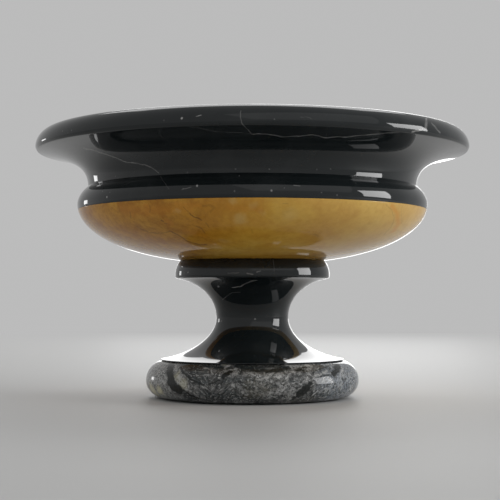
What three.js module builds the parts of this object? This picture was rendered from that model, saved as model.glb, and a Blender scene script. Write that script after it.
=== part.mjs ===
// Marble bowl: a turned tazza on a waisted stem and a round foot. Millimetres, +Z up.
// The origin is on the axis, in the plane the felt stands on.
// Black upper ring, yellow dish, black collar and stem, grey foot. A steel rod clamps the stones.
import * as THREE from 'three';

// Felt and foot
const feltRadius = 56;
const feltThickness = 2;
const feltProud = 0.5;
const footRadius = 68.95;
const footThickness = 23.9;
const footWidestHeight = 10.6;
const footHeelRun = 11.3;
const footShoulderRun = 13.4;

// Stem
const stemHeight = 52.9;
const flangeRadius = 59.3;
const flangeEdge = 0.55;
const flangeRun = 20.4;
const flangeRise = 3.1;
const waistRadius = 23.4;
const waistHeight = 26.9;
const waistRunDown = 11.8;
const waistRunUp = 13.1;
const stemTopRadius = 49.6;
const stemTopEdge = 0.3;
const stemTopRun = 15.4;
const stemTopSlope = 0.16;

// Collar
const collarHeight = 11.3;
const collarRadius = 50.15;
const collarCorner = 0.4;
const collarStraight = 2.1;

// Outside of the dish: a superellipse that the ring's shoulder carries on to its widest circle
const neckRadius = 46.8;
const bulgeRadius = 113.3;
const bulgeDrop = 38.1;
const bulgeFullness = 2.46;
const jointBelowBulge = 3.6;

// Inside of the dish
const floorThickness = 20;
const floorFullness = 2.6;

// Black ring
const creaseRadius = 106.5;
const creaseAboveBulge = 11;
const shoulderRise = 1.9;
const shoulderRunOut = 5.5;
const shoulderRunDown = 3.65;
const ringWall = 11;
const ringTopAboveBulge = 46.4;
const lipRadius = 140;
const lipRound = 9;
const lipDepth = 10.2;
const lipArrisInset = 1.25;
const lipArrisDepth = 12.7;
const coveRise = 15;
const undersideRun = 19;
const undersideSlope = 0.2;
const throatHeight = 19;
const throatRise = 20;
const mouthRun = 14;

// Rod, nuts and washers, after an M8 stud
const rodRadius = 4;
const rodChamfer = 0.8;
const rodOverNut = 1.2;
const nutSides = 6;
const nutAcrossFlats = 13;
const nutHeight = 6.5;
const washerRadius = 12;
const washerThickness = 1.6;
const cushionThickness = 1;
const footPocketDepth = 12.5;

// Plug over the upper nut
const plugRadius = 17;
const plugThickness = 4;
const plugAir = 0.8;

// Setting compound in the joints
const bedDepth = 1;
const rimBedInset = 5;
const rimBedWidth = 6;
const collarBedInner = 14;
const collarBedOuter = 34;
const footBedInner = 18;
const footBedOuter = 46;

// Clearances between pieces, each measured on the radius
const boreClearance = 0.5;
const threadClearance = 0.3;
const washerClearance = 0.4;
const pocketClearance = 1;
const plugClearance = 0.3;
const bedClearance = 0.3;
const feltClearance = 0.3;

// Share of its sides that a cubic curve's handles take to follow a quarter of an ellipse
const quarterHandle = 0.552;

// Facets round a large stone and round a small piece, and steps along each curve of an outline
const stoneSides = 40;
const smallSides = 24;
const curveSteps = 6;
const dishSteps = 8;

// Heights, stacked from the felt upwards
const footBottom = feltProud;
const stemBottom = footBottom + footThickness;
const collarBottom = stemBottom + stemHeight;
const dishBottom = collarBottom + collarHeight;
const neckAngle = Math.asin(Math.pow(neckRadius / bulgeRadius, bulgeFullness / 2));
const bulgeHeight = dishBottom + bulgeDrop * Math.cos(neckAngle);
const jointHeight = bulgeHeight - jointBelowBulge;
const jointAngle = Math.acos(jointBelowBulge / bulgeDrop);
const creaseHeight = bulgeHeight + creaseAboveBulge;
const ringTop = bulgeHeight + ringTopAboveBulge;
const floorHeight = dishBottom + floorThickness;
const throatRadius = creaseRadius - ringWall;

// Places of the rod's fittings
const boreRadius = rodRadius + boreClearance;
const pocketRadius = washerRadius + pocketClearance;
const fittingStack = cushionThickness + washerThickness + nutHeight;
const plugBottom = floorHeight - plugThickness;
const rodTop = plugBottom - plugAir;
const dishPocketBottom = rodTop - rodOverNut - fittingStack;
const footPocketTop = feltThickness + footPocketDepth;
const rodBottom = footPocketTop - fittingStack - rodOverNut;

const finishes = {
  blackMarble: new THREE.MeshStandardMaterial({ color: 0x16181a, roughness: 0.12, metalness: 0 }),
  yellowMarble: new THREE.MeshStandardMaterial({ color: 0xb8893f, roughness: 0.15, metalness: 0 }),
  greyMarble: new THREE.MeshStandardMaterial({ color: 0x84867f, roughness: 0.2, metalness: 0 }),
  steel: new THREE.MeshStandardMaterial({ color: 0xa9abad, roughness: 0.35, metalness: 1 }),
  lead: new THREE.MeshStandardMaterial({ color: 0x63666b, roughness: 0.6, metalness: 1 }),
  compound: new THREE.MeshStandardMaterial({ color: 0xd9d3c3, roughness: 0.9, metalness: 0 }),
  felt: new THREE.MeshStandardMaterial({ color: 0x1f3a2a, roughness: 1, metalness: 0 }),
};

// A mesh with a copy of a finish, so that each piece has a material of its own.
function piece(name, geometry, finish) {
  const mesh = new THREE.Mesh(geometry, finish.clone());
  mesh.name = name;
  return mesh;
}

// Turns an outline about the axis. x is the radius and y the height. The outline runs up the
// outside and down the inside, which leaves the faces pointing out.
function turned(name, outline, finish, sides = stoneSides, steps = curveSteps) {
  const points = outline.getPoints(steps);
  const start = points[0];
  const end = points[points.length - 1];
  if (start.x > 0 || end.x > 0) {
    if (end.distanceTo(start) > 0) {
      points.push(start.clone());
    }
  }
  const geometry = new THREE.LatheGeometry(points, sides);
  geometry.rotateX(Math.PI / 2);
  return piece(name, geometry, finish);
}

// Outline of a plain ring between two radii and two heights.
function ringOutline(inner, outer, bottom, top) {
  const outline = new THREE.Path();
  outline.moveTo(inner, bottom);
  outline.lineTo(outer, bottom);
  outline.lineTo(outer, top);
  outline.lineTo(inner, top);
  return outline;
}

// Outline of a plain disc on the axis.
function discOutline(radius, bottom, top) {
  const outline = new THREE.Path();
  outline.moveTo(0, bottom);
  outline.lineTo(radius, bottom);
  outline.lineTo(radius, top);
  outline.lineTo(0, top);
  return outline;
}

// A point on the dish's outside. The angle is 0 on the axis and a quarter turn at the bulge.
function bulgePoint(angle) {
  const radius = bulgeRadius * Math.pow(Math.sin(angle), 2 / bulgeFullness);
  return new THREE.Vector2(radius, bulgeHeight - bulgeDrop * Math.cos(angle));
}

// Adds a quarter of an ellipse from the outline's end. It leaves level and arrives upright, or
// the other way round.
function addQuarter(outline, end, leavesLevel) {
  const start = outline.currentPoint.clone();
  const corner = leavesLevel ? new THREE.Vector2(end.x, start.y) : new THREE.Vector2(start.x, end.y);
  const first = start.clone().lerp(corner, quarterHandle);
  const second = end.clone().lerp(corner, quarterHandle);
  outline.bezierCurveTo(first.x, first.y, second.x, second.y, end.x, end.y);
}

// Adds the stretch of the dish's outside between two angles, after the point at the first one.
function addBulge(outline, from, to, steps) {
  for (let step = 1; step <= steps; step += 1) {
    const point = bulgePoint(from + (to - from) * step / steps);
    outline.lineTo(point.x, point.y);
  }
}

// Adds the dish's inside, from the joint down to the level floor at the plug's edge.
function addDishInside(outline, steps) {
  const depth = jointHeight - floorHeight;
  const start = Math.asin(Math.pow((plugRadius + plugClearance) / throatRadius, floorFullness / 2));
  for (let step = 1; step < steps; step += 1) {
    const angle = Math.PI / 2 + (start - Math.PI / 2) * step / steps;
    const radius = throatRadius * Math.pow(Math.sin(angle), 2 / floorFullness);
    outline.lineTo(radius, jointHeight - depth * Math.cos(angle));
  }
  outline.lineTo(plugRadius + plugClearance, floorHeight);
}

// Adds the walls of a groove in a top face, coming from outside, for a bed of compound.
function addGroove(outline, inner, outer, top) {
  outline.lineTo(outer + bedClearance, top);
  outline.lineTo(outer + bedClearance, top - bedDepth);
  outline.lineTo(inner - bedClearance, top - bedDepth);
  outline.lineTo(inner - bedClearance, top);
}

// The compound that fills such a groove.
function makeBed(name, inner, outer, top) {
  return turned(name, ringOutline(inner, outer, top - bedDepth, top), finishes.compound);
}

// Black ring: shoulder, crease, cove, underside up to a crisp arris, round lip, and flared throat
function makeRimRing() {
  const outline = new THREE.Path();
  const joint = bulgePoint(jointAngle);
  const arrisRadius = lipRadius - lipArrisInset;
  const arrisHeight = ringTop - lipArrisDepth;
  const crownRadius = lipRadius - lipRound;
  const lipHeight = ringTop - lipDepth;
  outline.moveTo(joint.x, joint.y);
  outline.lineTo(bulgeRadius, bulgeHeight);
  outline.bezierCurveTo(bulgeRadius, bulgeHeight + shoulderRise,
    creaseRadius + shoulderRunOut, creaseHeight - shoulderRunDown, creaseRadius, creaseHeight);
  outline.bezierCurveTo(creaseRadius, creaseHeight + coveRise,
    arrisRadius - undersideRun, arrisHeight - undersideRun * undersideSlope, arrisRadius, arrisHeight);
  outline.quadraticCurveTo(lipRadius, (arrisHeight + lipHeight) / 2, lipRadius, lipHeight);
  outline.bezierCurveTo(lipRadius, lipHeight + lipDepth / 2,
    crownRadius + lipRound / 2, ringTop, crownRadius, ringTop);
  outline.bezierCurveTo(crownRadius - mouthRun, ringTop,
    throatRadius, jointHeight + throatHeight + throatRise, throatRadius, jointHeight + throatHeight);
  outline.lineTo(throatRadius, jointHeight);
  return turned('rim_ring', outline, finishes.blackMarble);
}

// Yellow dish: bulging outside, shallow inside, pocket for the upper nut, groove under the ring
function makeDish() {
  const outline = new THREE.Path();
  outline.moveTo(boreRadius, dishBottom);
  outline.lineTo(neckRadius, dishBottom);
  addBulge(outline, neckAngle, jointAngle, dishSteps);
  const bedOuter = throatRadius + rimBedInset + rimBedWidth;
  addGroove(outline, throatRadius + rimBedInset, bedOuter, jointHeight);
  outline.lineTo(throatRadius, jointHeight);
  addDishInside(outline, dishSteps);
  outline.lineTo(plugRadius + plugClearance, plugBottom);
  outline.lineTo(pocketRadius, plugBottom);
  outline.lineTo(pocketRadius, dishPocketBottom);
  outline.lineTo(boreRadius, dishPocketBottom);
  return turned('dish', outline, finishes.yellowMarble);
}

// Black collar: small corner below, short straight edge, then rounded in to the neck
function makeCollar() {
  const outline = new THREE.Path();
  const straightBottom = collarBottom + collarCorner;
  const straightTop = straightBottom + collarStraight;
  const shoulder = dishBottom - straightTop;
  outline.moveTo(boreRadius, collarBottom);
  outline.lineTo(collarRadius - collarCorner, collarBottom);
  outline.quadraticCurveTo(collarRadius, collarBottom, collarRadius, straightBottom);
  outline.lineTo(collarRadius, straightTop);
  outline.bezierCurveTo(collarRadius, straightTop + shoulder / 3,
    neckRadius + shoulder / 4, dishBottom - shoulder / 4, neckRadius, dishBottom);
  addGroove(outline, collarBedInner, collarBedOuter, dishBottom);
  outline.lineTo(boreRadius, dishBottom);
  return turned('collar', outline, finishes.blackMarble);
}

// Black stem: wide flange below, narrow waist, and a flare that runs out to the collar's edge
function makeStem() {
  const outline = new THREE.Path();
  const waist = stemBottom + waistHeight;
  const brim = collarBottom - stemTopEdge;
  outline.moveTo(boreRadius, stemBottom);
  outline.lineTo(flangeRadius, stemBottom);
  outline.lineTo(flangeRadius, stemBottom + flangeEdge);
  outline.bezierCurveTo(flangeRadius - flangeRun, stemBottom + flangeEdge + flangeRise,
    waistRadius, waist - waistRunDown, waistRadius, waist);
  outline.bezierCurveTo(waistRadius, waist + waistRunUp,
    stemTopRadius - stemTopRun, brim - stemTopRun * stemTopSlope, stemTopRadius, brim);
  outline.lineTo(stemTopRadius, collarBottom);
  addGroove(outline, collarBedInner, collarBedOuter, collarBottom);
  outline.lineTo(boreRadius, collarBottom);
  return turned('stem', outline, finishes.blackMarble);
}

// Grey foot: edge rounded more gently above its widest than below, pocket for the lower nut,
// shallow recess for the felt
function makeFoot() {
  const outline = new THREE.Path();
  const widest = new THREE.Vector2(footRadius, footBottom + footWidestHeight);
  const shoulder = new THREE.Vector2(footRadius - footShoulderRun, stemBottom);
  outline.moveTo(feltRadius + feltClearance, footBottom);
  outline.lineTo(footRadius - footHeelRun, footBottom);
  addQuarter(outline, widest, true);
  addQuarter(outline, shoulder, false);
  addGroove(outline, footBedInner, footBedOuter, stemBottom);
  outline.lineTo(boreRadius, stemBottom);
  outline.lineTo(boreRadius, footPocketTop);
  outline.lineTo(pocketRadius, footPocketTop);
  outline.lineTo(pocketRadius, feltThickness);
  outline.lineTo(feltRadius + feltClearance, feltThickness);
  return turned('foot', outline, finishes.greyMarble);
}

// Plug of the dish's own marble, flush with the floor inside
function makePlug() {
  return turned('dish_plug', discOutline(plugRadius, plugBottom, floorHeight), finishes.yellowMarble);
}

// Steel stud with chamfered ends
function makeRod() {
  const outline = new THREE.Path();
  outline.moveTo(0, rodBottom);
  outline.lineTo(rodRadius - rodChamfer, rodBottom);
  outline.lineTo(rodRadius, rodBottom + rodChamfer);
  outline.lineTo(rodRadius, rodTop - rodChamfer);
  outline.lineTo(rodRadius - rodChamfer, rodTop);
  outline.lineTo(0, rodTop);
  return turned('tie_rod', outline, finishes.steel, smallSides);
}

// Hexagon nut from its lower face
function makeNut(name, bottom) {
  const cornerRadius = nutAcrossFlats / 2 / Math.cos(Math.PI / nutSides);
  const corners = [];
  for (let corner = 0; corner < nutSides; corner += 1) {
    const angle = corner * 2 * Math.PI / nutSides;
    corners.push(new THREE.Vector2(cornerRadius * Math.cos(angle), cornerRadius * Math.sin(angle)));
  }
  const hexagon = new THREE.Shape(corners);
  const bore = new THREE.Path();
  bore.absarc(0, 0, rodRadius + threadClearance, 0, 2 * Math.PI, true);
  hexagon.holes.push(bore);
  const geometry = new THREE.ExtrudeGeometry(hexagon,
    { depth: nutHeight, bevelEnabled: false, curveSegments: smallSides / 2 });
  const nut = piece(name, geometry, finishes.steel);
  nut.position.z = bottom;
  return nut;
}

// Steel washer, or the lead cushion between it and the stone
function makeWasher(name, bottom, thickness, finish) {
  const outline = ringOutline(rodRadius + washerClearance, washerRadius, bottom, bottom + thickness);
  return turned(name, outline, finish, smallSides);
}

function makeFelt() {
  return turned('felt_pad', discOutline(feltRadius, 0, feltThickness), finishes.felt);
}

// The stones, from the top down
function makeStones() {
  const stones = new THREE.Group();
  stones.add(makeRimRing(), makeDish(), makePlug(), makeCollar(), makeStem(), makeFoot());
  return stones;
}

// The compound in the four joints
function makeBeds() {
  const beds = new THREE.Group();
  const rimBedInner = throatRadius + rimBedInset;
  beds.add(makeBed('rim_bed', rimBedInner, rimBedInner + rimBedWidth, jointHeight));
  beds.add(makeBed('dish_bed', collarBedInner, collarBedOuter, dishBottom));
  beds.add(makeBed('collar_bed', collarBedInner, collarBedOuter, collarBottom));
  beds.add(makeBed('foot_bed', footBedInner, footBedOuter, stemBottom));
  return beds;
}

// The rod and what holds its two ends
function makeFixings() {
  const fixings = new THREE.Group();
  const upperWasher = dishPocketBottom + cushionThickness;
  const lowerWasher = footPocketTop - cushionThickness - washerThickness;
  fixings.add(makeRod());
  fixings.add(makeWasher('top_cushion', dishPocketBottom, cushionThickness, finishes.lead));
  fixings.add(makeWasher('top_washer', upperWasher, washerThickness, finishes.steel));
  fixings.add(makeNut('top_nut', upperWasher + washerThickness));
  const lowerCushion = footPocketTop - cushionThickness;
  fixings.add(makeWasher('bottom_cushion', lowerCushion, cushionThickness, finishes.lead));
  fixings.add(makeWasher('bottom_washer', lowerWasher, washerThickness, finishes.steel));
  fixings.add(makeNut('bottom_nut', lowerWasher - nutHeight));
  return fixings;
}

const bowl = new THREE.Group();
bowl.add(makeStones(), makeBeds(), makeFixings(), makeFelt());

export default bowl;
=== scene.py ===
"""Marble bowl: smooth turned stones, polished marbles and a plain studio round the fixed frame.

Lengths are metres. Every outline is a line of radius and height about the upright axis.
"""
import logging
import math
from dataclasses import dataclass
from enum import Enum

import bpy
import numpy as np
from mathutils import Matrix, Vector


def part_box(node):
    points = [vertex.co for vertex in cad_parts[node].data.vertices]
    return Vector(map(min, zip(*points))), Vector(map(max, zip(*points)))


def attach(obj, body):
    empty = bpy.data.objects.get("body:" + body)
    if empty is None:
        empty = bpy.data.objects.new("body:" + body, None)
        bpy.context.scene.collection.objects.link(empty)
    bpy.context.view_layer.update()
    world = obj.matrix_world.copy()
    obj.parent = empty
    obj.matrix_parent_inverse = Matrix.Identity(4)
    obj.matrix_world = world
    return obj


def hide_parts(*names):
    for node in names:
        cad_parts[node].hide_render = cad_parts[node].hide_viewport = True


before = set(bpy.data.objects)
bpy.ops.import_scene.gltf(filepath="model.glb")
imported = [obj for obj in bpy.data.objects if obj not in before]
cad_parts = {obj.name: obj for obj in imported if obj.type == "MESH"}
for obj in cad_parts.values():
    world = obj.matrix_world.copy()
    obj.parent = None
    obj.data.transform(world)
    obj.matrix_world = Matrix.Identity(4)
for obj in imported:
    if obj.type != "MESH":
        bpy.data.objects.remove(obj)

Array = np.ndarray
Point = tuple[float, float]  # radius and height
Pixel = tuple[float, float]  # column and row of the photograph
Place = tuple[float, float, float]
Colour = tuple[float, float, float]
Stops = tuple[tuple[float, Colour], ...]
Socket = bpy.types.NodeSocket

LOG = logging.getLogger("marble_bowl")
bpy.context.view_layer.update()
BODY = "root"
MM = 0.001
IMAGE_SIZE = 500  # width and height of the photograph, in pixels
SAME = 1e-7  # distance under which two points are one


class Slot(Enum):
    """The record's finishes that the pieces take."""

    BLACK = "black_marble"
    YELLOW = "yellow_marble"
    GREY = "grey_marble"
    STEEL = "steel"
    LEAD = "lead"
    COMPOUND = "compound"
    FELT = "felt"


def low(node: str) -> float:
    """Height of a node's lowest point in the frame."""
    return float(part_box(node)[0].z)


def high(node: str) -> float:
    """Height of a node's highest point in the frame."""
    return float(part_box(node)[1].z)


def reach(node: str) -> float:
    """Largest radius of a round node in the frame."""
    return float(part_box(node)[1].x)


class Outline:
    """A line of radius and height made of stretches, run up the outside and down the inside."""

    DENSE = 160  # points along a curve, before the whole line is sampled
    BED_GAP = 0.3 * MM  # clearance between a bed and the walls of its groove
    BENT = math.cos(math.radians(10))  # cosine under which two stretches meet in a corner
    MOST_CUT = 0.3  # largest share of a stretch that an eased corner takes
    EASE_POINTS = 5  # inner points of an eased corner

    def __init__(self, radius: float, height: float) -> None:
        """Starts the line.

        Args:
            radius: Distance of its first point from the axis.
            height: Height of its first point.
        """
        self.end = np.array([radius, height])
        self.stretches: list[Array] = []

    def add(self, points: Array) -> "Outline":
        """Adds a stretch that begins where the line ends.

        Args:
            points: Rows of radius and height.

        Returns:
            The outline itself.
        """
        self.stretches.append(points)
        self.end = points[-1]
        return self

    def line(self, radius: float, height: float) -> "Outline":
        """Adds a straight stretch to a point."""
        return self.add(np.array([self.end, (radius, height)]))

    def curve(self, first: Point, second: Point, end: Point) -> "Outline":
        """Adds a cubic curve: the mean of its four points, weighted by the cubic Bernstein terms.

        Args:
            first: Radius and height of the handle that the curve leaves towards.
            second: The handle that the curve arrives from.
            end: The curve's last point.

        Returns:
            The outline itself.
        """
        t = np.linspace(0.0, 1.0, self.DENSE)[:, None]
        corners = [self.end, np.array(first), np.array(second), np.array(end)]
        weights = [(1 - t) ** 3, 3 * t * (1 - t) ** 2, 3 * t ** 2 * (1 - t), t ** 3]
        return self.add(sum(w * c for w, c in zip(weights, corners)))

    def bend(self, handle: Point, end: Point) -> "Outline":
        """Adds a curve with one handle: the cubic whose handles lie two thirds of the way to it.

        Args:
            handle: Radius and height of the handle.
            end: The curve's last point.

        Returns:
            The outline itself.
        """
        towards = np.array(handle)
        first, second = self.end + 2 / 3 * (towards - self.end), np.array(end) + 2 / 3 * (towards - end)
        return self.curve(tuple(first), tuple(second), end)

    def quarter(self, radius: float, height: float, leaves_level: bool) -> "Outline":
        """Adds a quarter of an ellipse, level at one end and upright at the other.

        Leaving level, the radius grows by its run times the sine of a turn and the height ends
        its rise times the turn's cosine below the last point; leaving upright, the radius ends
        its run times the cosine from the last one and the height grows with the sine.

        Args:
            radius: Radius of the last point.
            height: Height of the last point.
            leaves_level: Whether the line is level at its start and upright at its end.

        Returns:
            The outline itself.
        """
        turn = np.linspace(0.0, math.pi / 2, self.DENSE)
        run, rise = radius - self.end[0], height - self.end[1]
        if leaves_level:
            radii, heights = self.end[0] + run * np.sin(turn), height - rise * np.cos(turn)
        else:
            radii, heights = radius - run * np.cos(turn), self.end[1] + rise * np.sin(turn)
        return self.add(np.stack([radii, heights], axis=1))

    def groove(self, bed: str, inner: float, top: float) -> "Outline":
        """Adds the level run inwards to a bed's groove, and the groove's three walls.

        Args:
            bed: The node of the compound that fills the groove.
            inner: The bed's inner radius.
            top: Height of the face that the groove is cut in.

        Returns:
            The outline itself.
        """
        outer, inner, floor = reach(bed) + self.BED_GAP, inner - self.BED_GAP, low(bed)
        return self.line(outer, top).line(outer, floor).line(inner, floor).line(inner, top)

    def belly(self, widest: float, level: float, drop: float, fullness: float,
              start: float, stop: float) -> "Outline":
        """Adds a piece of a superellipse.

        The radius is the widest radius times the sine of an angle to the power of two over the
        fullness, and the height is the level less the drop times the angle's cosine.

        Args:
            widest: Radius at a quarter turn.
            level: Height at a quarter turn.
            drop: Height from the axis point up to the level.
            fullness: Exponent on the radius; two gives an ellipse.
            start: First angle.
            stop: Last angle.

        Returns:
            The outline itself.
        """
        angle = np.linspace(start, stop, self.DENSE)
        radius = widest * np.sin(angle) ** (2 / fullness)
        return self.add(np.stack([radius, level - drop * np.cos(angle)], axis=1))

    def sampled(self, spacing: float, edge: float) -> Array:
        """Evenly spaced points along the line, with every corner eased.

        Each stretch loses the edge length at a corner, and a quadratic curve through the corner
        point joins what is left, as a polisher's pad rounds an arris.

        Args:
            spacing: Distance between points.
            edge: Length taken off each side of a corner.

        Returns:
            Rows of radius and height, without a repeat of the first point.
        """
        closed = bool(np.linalg.norm(self.end - self.stretches[0][0]) < SAME)
        count = len(self.stretches)
        corners = [self.turns(k, (k + 1) % count) for k in range(count)]
        if not closed:
            corners[-1] = False
        rows = []
        for k, stretch in enumerate(self.stretches):
            head = edge if corners[k - 1] else 0.0
            tail = edge if corners[k] else 0.0
            rows.append(self.cut(stretch, head, tail, spacing))
            if corners[k]:
                nearby = self.stretches[(k + 1) % count]
                rows.append(self.ease(rows[-1][-1], stretch[-1], self.cut(nearby, edge, 0.0, spacing)[0]))
        points = np.concatenate(rows)
        apart = np.linalg.norm(np.diff(points, axis=0), axis=1) > SAME
        points = points[np.concatenate([[True], apart])]
        return points[:-1] if closed and np.linalg.norm(points[0] - points[-1]) < SAME else points

    def turns(self, first: int, second: int) -> bool:
        """Whether the line has a corner between two of its stretches.

        Args:
            first: Number of the stretch before.
            second: Number of the stretch after.

        Returns:
            Whether their directions are far enough apart.
        """
        before = self.stretches[first][-1] - self.stretches[first][-2]
        after = self.stretches[second][1] - self.stretches[second][0]
        cosine = before @ after / (np.linalg.norm(before) * np.linalg.norm(after))
        return bool(cosine < self.BENT)

    def cut(self, stretch: Array, head: float, tail: float, spacing: float) -> Array:
        """A stretch without its first and last lengths, as evenly spaced points.

        Args:
            stretch: Rows of radius and height.
            head: Length taken off its start.
            tail: Length taken off its end.
            spacing: Largest distance between points.

        Returns:
            Rows of radius and height.
        """
        steps = np.linalg.norm(np.diff(stretch, axis=0), axis=1)
        along = np.concatenate([[0.0], np.cumsum(steps)])
        total = along[-1]
        head, tail = min(head, self.MOST_CUT * total), min(tail, self.MOST_CUT * total)
        count = max(2, int(math.ceil((total - head - tail) / spacing)) + 1)
        wanted = np.linspace(head, total - tail, count)
        return np.stack([np.interp(wanted, along, stretch[:, k]) for k in (0, 1)], axis=1)

    def ease(self, start: Array, corner: Array, end: Array) -> Array:
        """The inner points of a quadratic curve from start to end with its handle at the corner."""
        t = np.linspace(0.0, 1.0, self.EASE_POINTS + 2)[1:-1, None]
        return (1 - t) ** 2 * start + 2 * t * (1 - t) * corner + t ** 2 * end


def ring_mesh(name: str, radius: Array, height: Array,
              poles: tuple[float, ...] = ()) -> bpy.types.Object:
    """Makes a mesh of rings about the upright axis.

    A vertex is its radius times the cosine and sine of its column's turn, at its height. Without
    poles the last ring joins the first; with them a fan of triangles closes each end.

    Args:
        name: The new object's name.
        radius: A row for each ring, up the outside first, and a column for each turn.
        height: Heights in the same rows and columns.
        poles: Heights of the lower and the upper pole, for a piece that is solid on its axis.

    Returns:
        The object, at the origin.
    """
    rows, sides = radius.shape
    turn = turns_of(sides)
    vertices = np.stack([radius * np.cos(turn), radius * np.sin(turn), height], axis=-1).reshape(-1, 3)
    index = np.arange(rows * sides).reshape(rows, sides)
    lower = index[:-1] if poles else index
    upper = index[1:] if poles else np.roll(index, -1, axis=0)
    quads = np.stack([lower, np.roll(lower, -1, axis=1), np.roll(upper, -1, axis=1), upper], axis=-1)
    faces = quads.reshape(-1, 4).tolist()
    if poles:
        vertices = np.concatenate([vertices, [[0.0, 0.0, poles[0]], [0.0, 0.0, poles[1]]]])
        first, last = index[0], index[-1]
        foot, tip = np.full(sides, rows * sides), np.full(sides, rows * sides + 1)
        faces += np.stack([foot, np.roll(first, -1), first], axis=1).tolist()
        faces += np.stack([tip, last, np.roll(last, -1)], axis=1).tolist()
    mesh = bpy.data.meshes.new(name)
    mesh.from_pydata(vertices.tolist(), [], faces)
    mesh.shade_smooth()
    mesh.update()
    piece = bpy.data.objects.new(name, mesh)
    bpy.context.scene.collection.objects.link(piece)
    return piece


def turns_of(sides: int) -> Array:
    """The turn of each column of a ring, in radians."""
    return np.arange(sides) * (2 * math.pi / sides)


def turned_mesh(name: str, points: Array, sides: int) -> bpy.types.Object:
    """Turns an outline about the upright axis.

    Each point of the outline is a ring of its radius at its height. An outline whose ends lie on
    the axis gets one vertex at each pole.

    Args:
        name: The new object's name.
        points: Rows of radius and height, anticlockwise when the radius runs to the right.
        sides: Number of columns round the axis.

    Returns:
        The object, at the origin.
    """
    solid = bool(points[0, 0] < SAME and points[-1, 0] < SAME)
    line = points[1:-1] if solid else points
    across = np.zeros(sides)
    poles = (points[0, 1], points[-1, 1]) if solid else ()
    return ring_mesh(name, line[:, :1] + across, line[:, 1:] + across, poles)


@dataclass(frozen=True)
class Sight:
    """The photograph's camera: where it stands and how a pixel becomes a ray.

    Attributes:
        distance: How far in front of the axis it stands.
        height: Its height.
        aside: Its place to the right of the axis.
        focal_pixels: Focal length in pixels of the photograph.
        horizon_row: Row of the photograph that lies level with it.
        nearest: How much nearer than the axis a ray may meet the part.
        steps: Steps in which a ray is followed.
    """

    distance: float = 0.8118
    height: float = 0.0652
    aside: float = -0.0015
    focal_pixels: float = 1245.0
    horizon_row: float = 296.5
    nearest: float = 0.16
    steps: int = 6000

    @property
    def eye(self) -> Array:
        """The camera's place."""
        return np.array([self.aside, -self.distance, self.height])

    @property
    def pitch(self) -> float:
        """Upward tilt that puts the horizon on its row of the image."""
        return math.atan((self.horizon_row - IMAGE_SIZE / 2) / self.focal_pixels)

    def ray(self, pixel: Pixel) -> Array:
        """Direction from the eye through a pixel.

        Args:
            pixel: Column and row in the photograph.

        Returns:
            The direction, of unit length.
        """
        across = pixel[0] - IMAGE_SIZE / 2
        up = IMAGE_SIZE / 2 - pixel[1]
        sine, cosine = math.sin(self.pitch), math.cos(self.pitch)
        forward = self.focal_pixels * cosine - up * sine
        direction = np.array([across, forward, self.focal_pixels * sine + up * cosine])
        return direction / np.linalg.norm(direction)

    def touch(self, pixel: Pixel, outside: Array) -> Array:
        """Where a pixel's ray first meets a turned surface.

        The ray is stepped through the part's space, and the first step whose distance from the
        axis is under the surface's radius at that height is the touch.

        Args:
            pixel: Column and row in the photograph.
            outside: Rows of radius and height, in rising height.

        Returns:
            The point.
        """
        along = np.linspace(self.distance - self.nearest, self.distance, self.steps)[:, None]
        points = self.eye + along * self.ray(pixel)
        surface = np.interp(points[:, 2], outside[:, 1], outside[:, 0], left=0.0, right=0.0)
        inside = np.hypot(points[:, 0], points[:, 1]) <= surface
        return points[int(np.argmax(inside))]


SIGHT = Sight()


@dataclass(frozen=True)
class Vein:
    """A line or band in the stone, known by the photograph's pixels that it runs through.

    Attributes:
        pixels: Columns and rows of its points, in order.
        width: Distance from its middle to its edge.
        strength: Share of its colour at its middle.
        soft: Share of its width over which it fades.
    """

    pixels: tuple[Pixel, ...]
    width: float = 0.3 * MM
    strength: float = 0.2
    soft: float = 0.85


@dataclass(frozen=True)
class Patch:
    """A cloud or speck of another tone in the stone.

    Attributes:
        pixel: Column and row of its middle in the photograph.
        radius: Distance from its middle at which it has faded out.
        strength: Share of its colour at its middle.
    """

    pixel: Pixel
    radius: float
    strength: float


@dataclass(frozen=True)
class Noise:
    """A fractal noise, from 0 to 1 about a half.

    Attributes:
        scale: Features per metre.
        detail: Octaves.
        rough: How much each finer octave keeps.
        warp: How far the noise bends itself.
    """

    scale: float
    detail: float = 4.0
    rough: float = 0.55
    warp: float = 0.0


@dataclass(frozen=True)
class Span:
    """A range of numbers and what they become, smoothly and held at both ends.

    Attributes:
        start: Number that becomes the first value.
        stop: Number that becomes the last value.
        first: The first value.
        last: The last value.
    """

    start: float
    stop: float
    first: float = 0.0
    last: float = 1.0


@dataclass(frozen=True)
class Layer:
    """A layer of the stone.

    Attributes:
        noise: The noise that it follows.
        span: The part of the noise that it shows, and how strongly.
    """

    noise: Noise
    span: Span


@dataclass(frozen=True)
class Push:
    """A push by noise that makes a pattern flow.

    Attributes:
        amount: Its largest length.
        scale: Its features per metre.
        detail: Octaves of its noise.
        rough: How much each finer octave keeps.
    """

    amount: float
    scale: float
    detail: float = 2.0
    rough: float = 0.55


@dataclass(frozen=True)
class Bend(Push):
    """A push by finer noise that bends a vein."""

    detail: float = 4.0
    rough: float = 0.6


@dataclass(frozen=True)
class Net:
    """Winding lines with no set places, where a noise passes through its middle value.

    Attributes:
        noise: The noise that the lines follow.
        width: How far from its middle value a line reaches.
        places: Where the lines show.
        strength: Share of their colour at their middle.
    """

    noise: Noise
    width: float
    places: Layer
    strength: float = 1.0


@dataclass(frozen=True)
class Slant:
    """How a pattern is laid across the stone.

    Attributes:
        shift: Offset of its coordinates.
        turn: Their turn about each axis, in degrees.
        stretch: Factor along each axis.
    """

    shift: Place = (0.0, 0.0, 0.0)
    turn: Place = (0.0, 0.0, 0.0)
    stretch: Place = (1.0, 1.0, 1.0)


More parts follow.
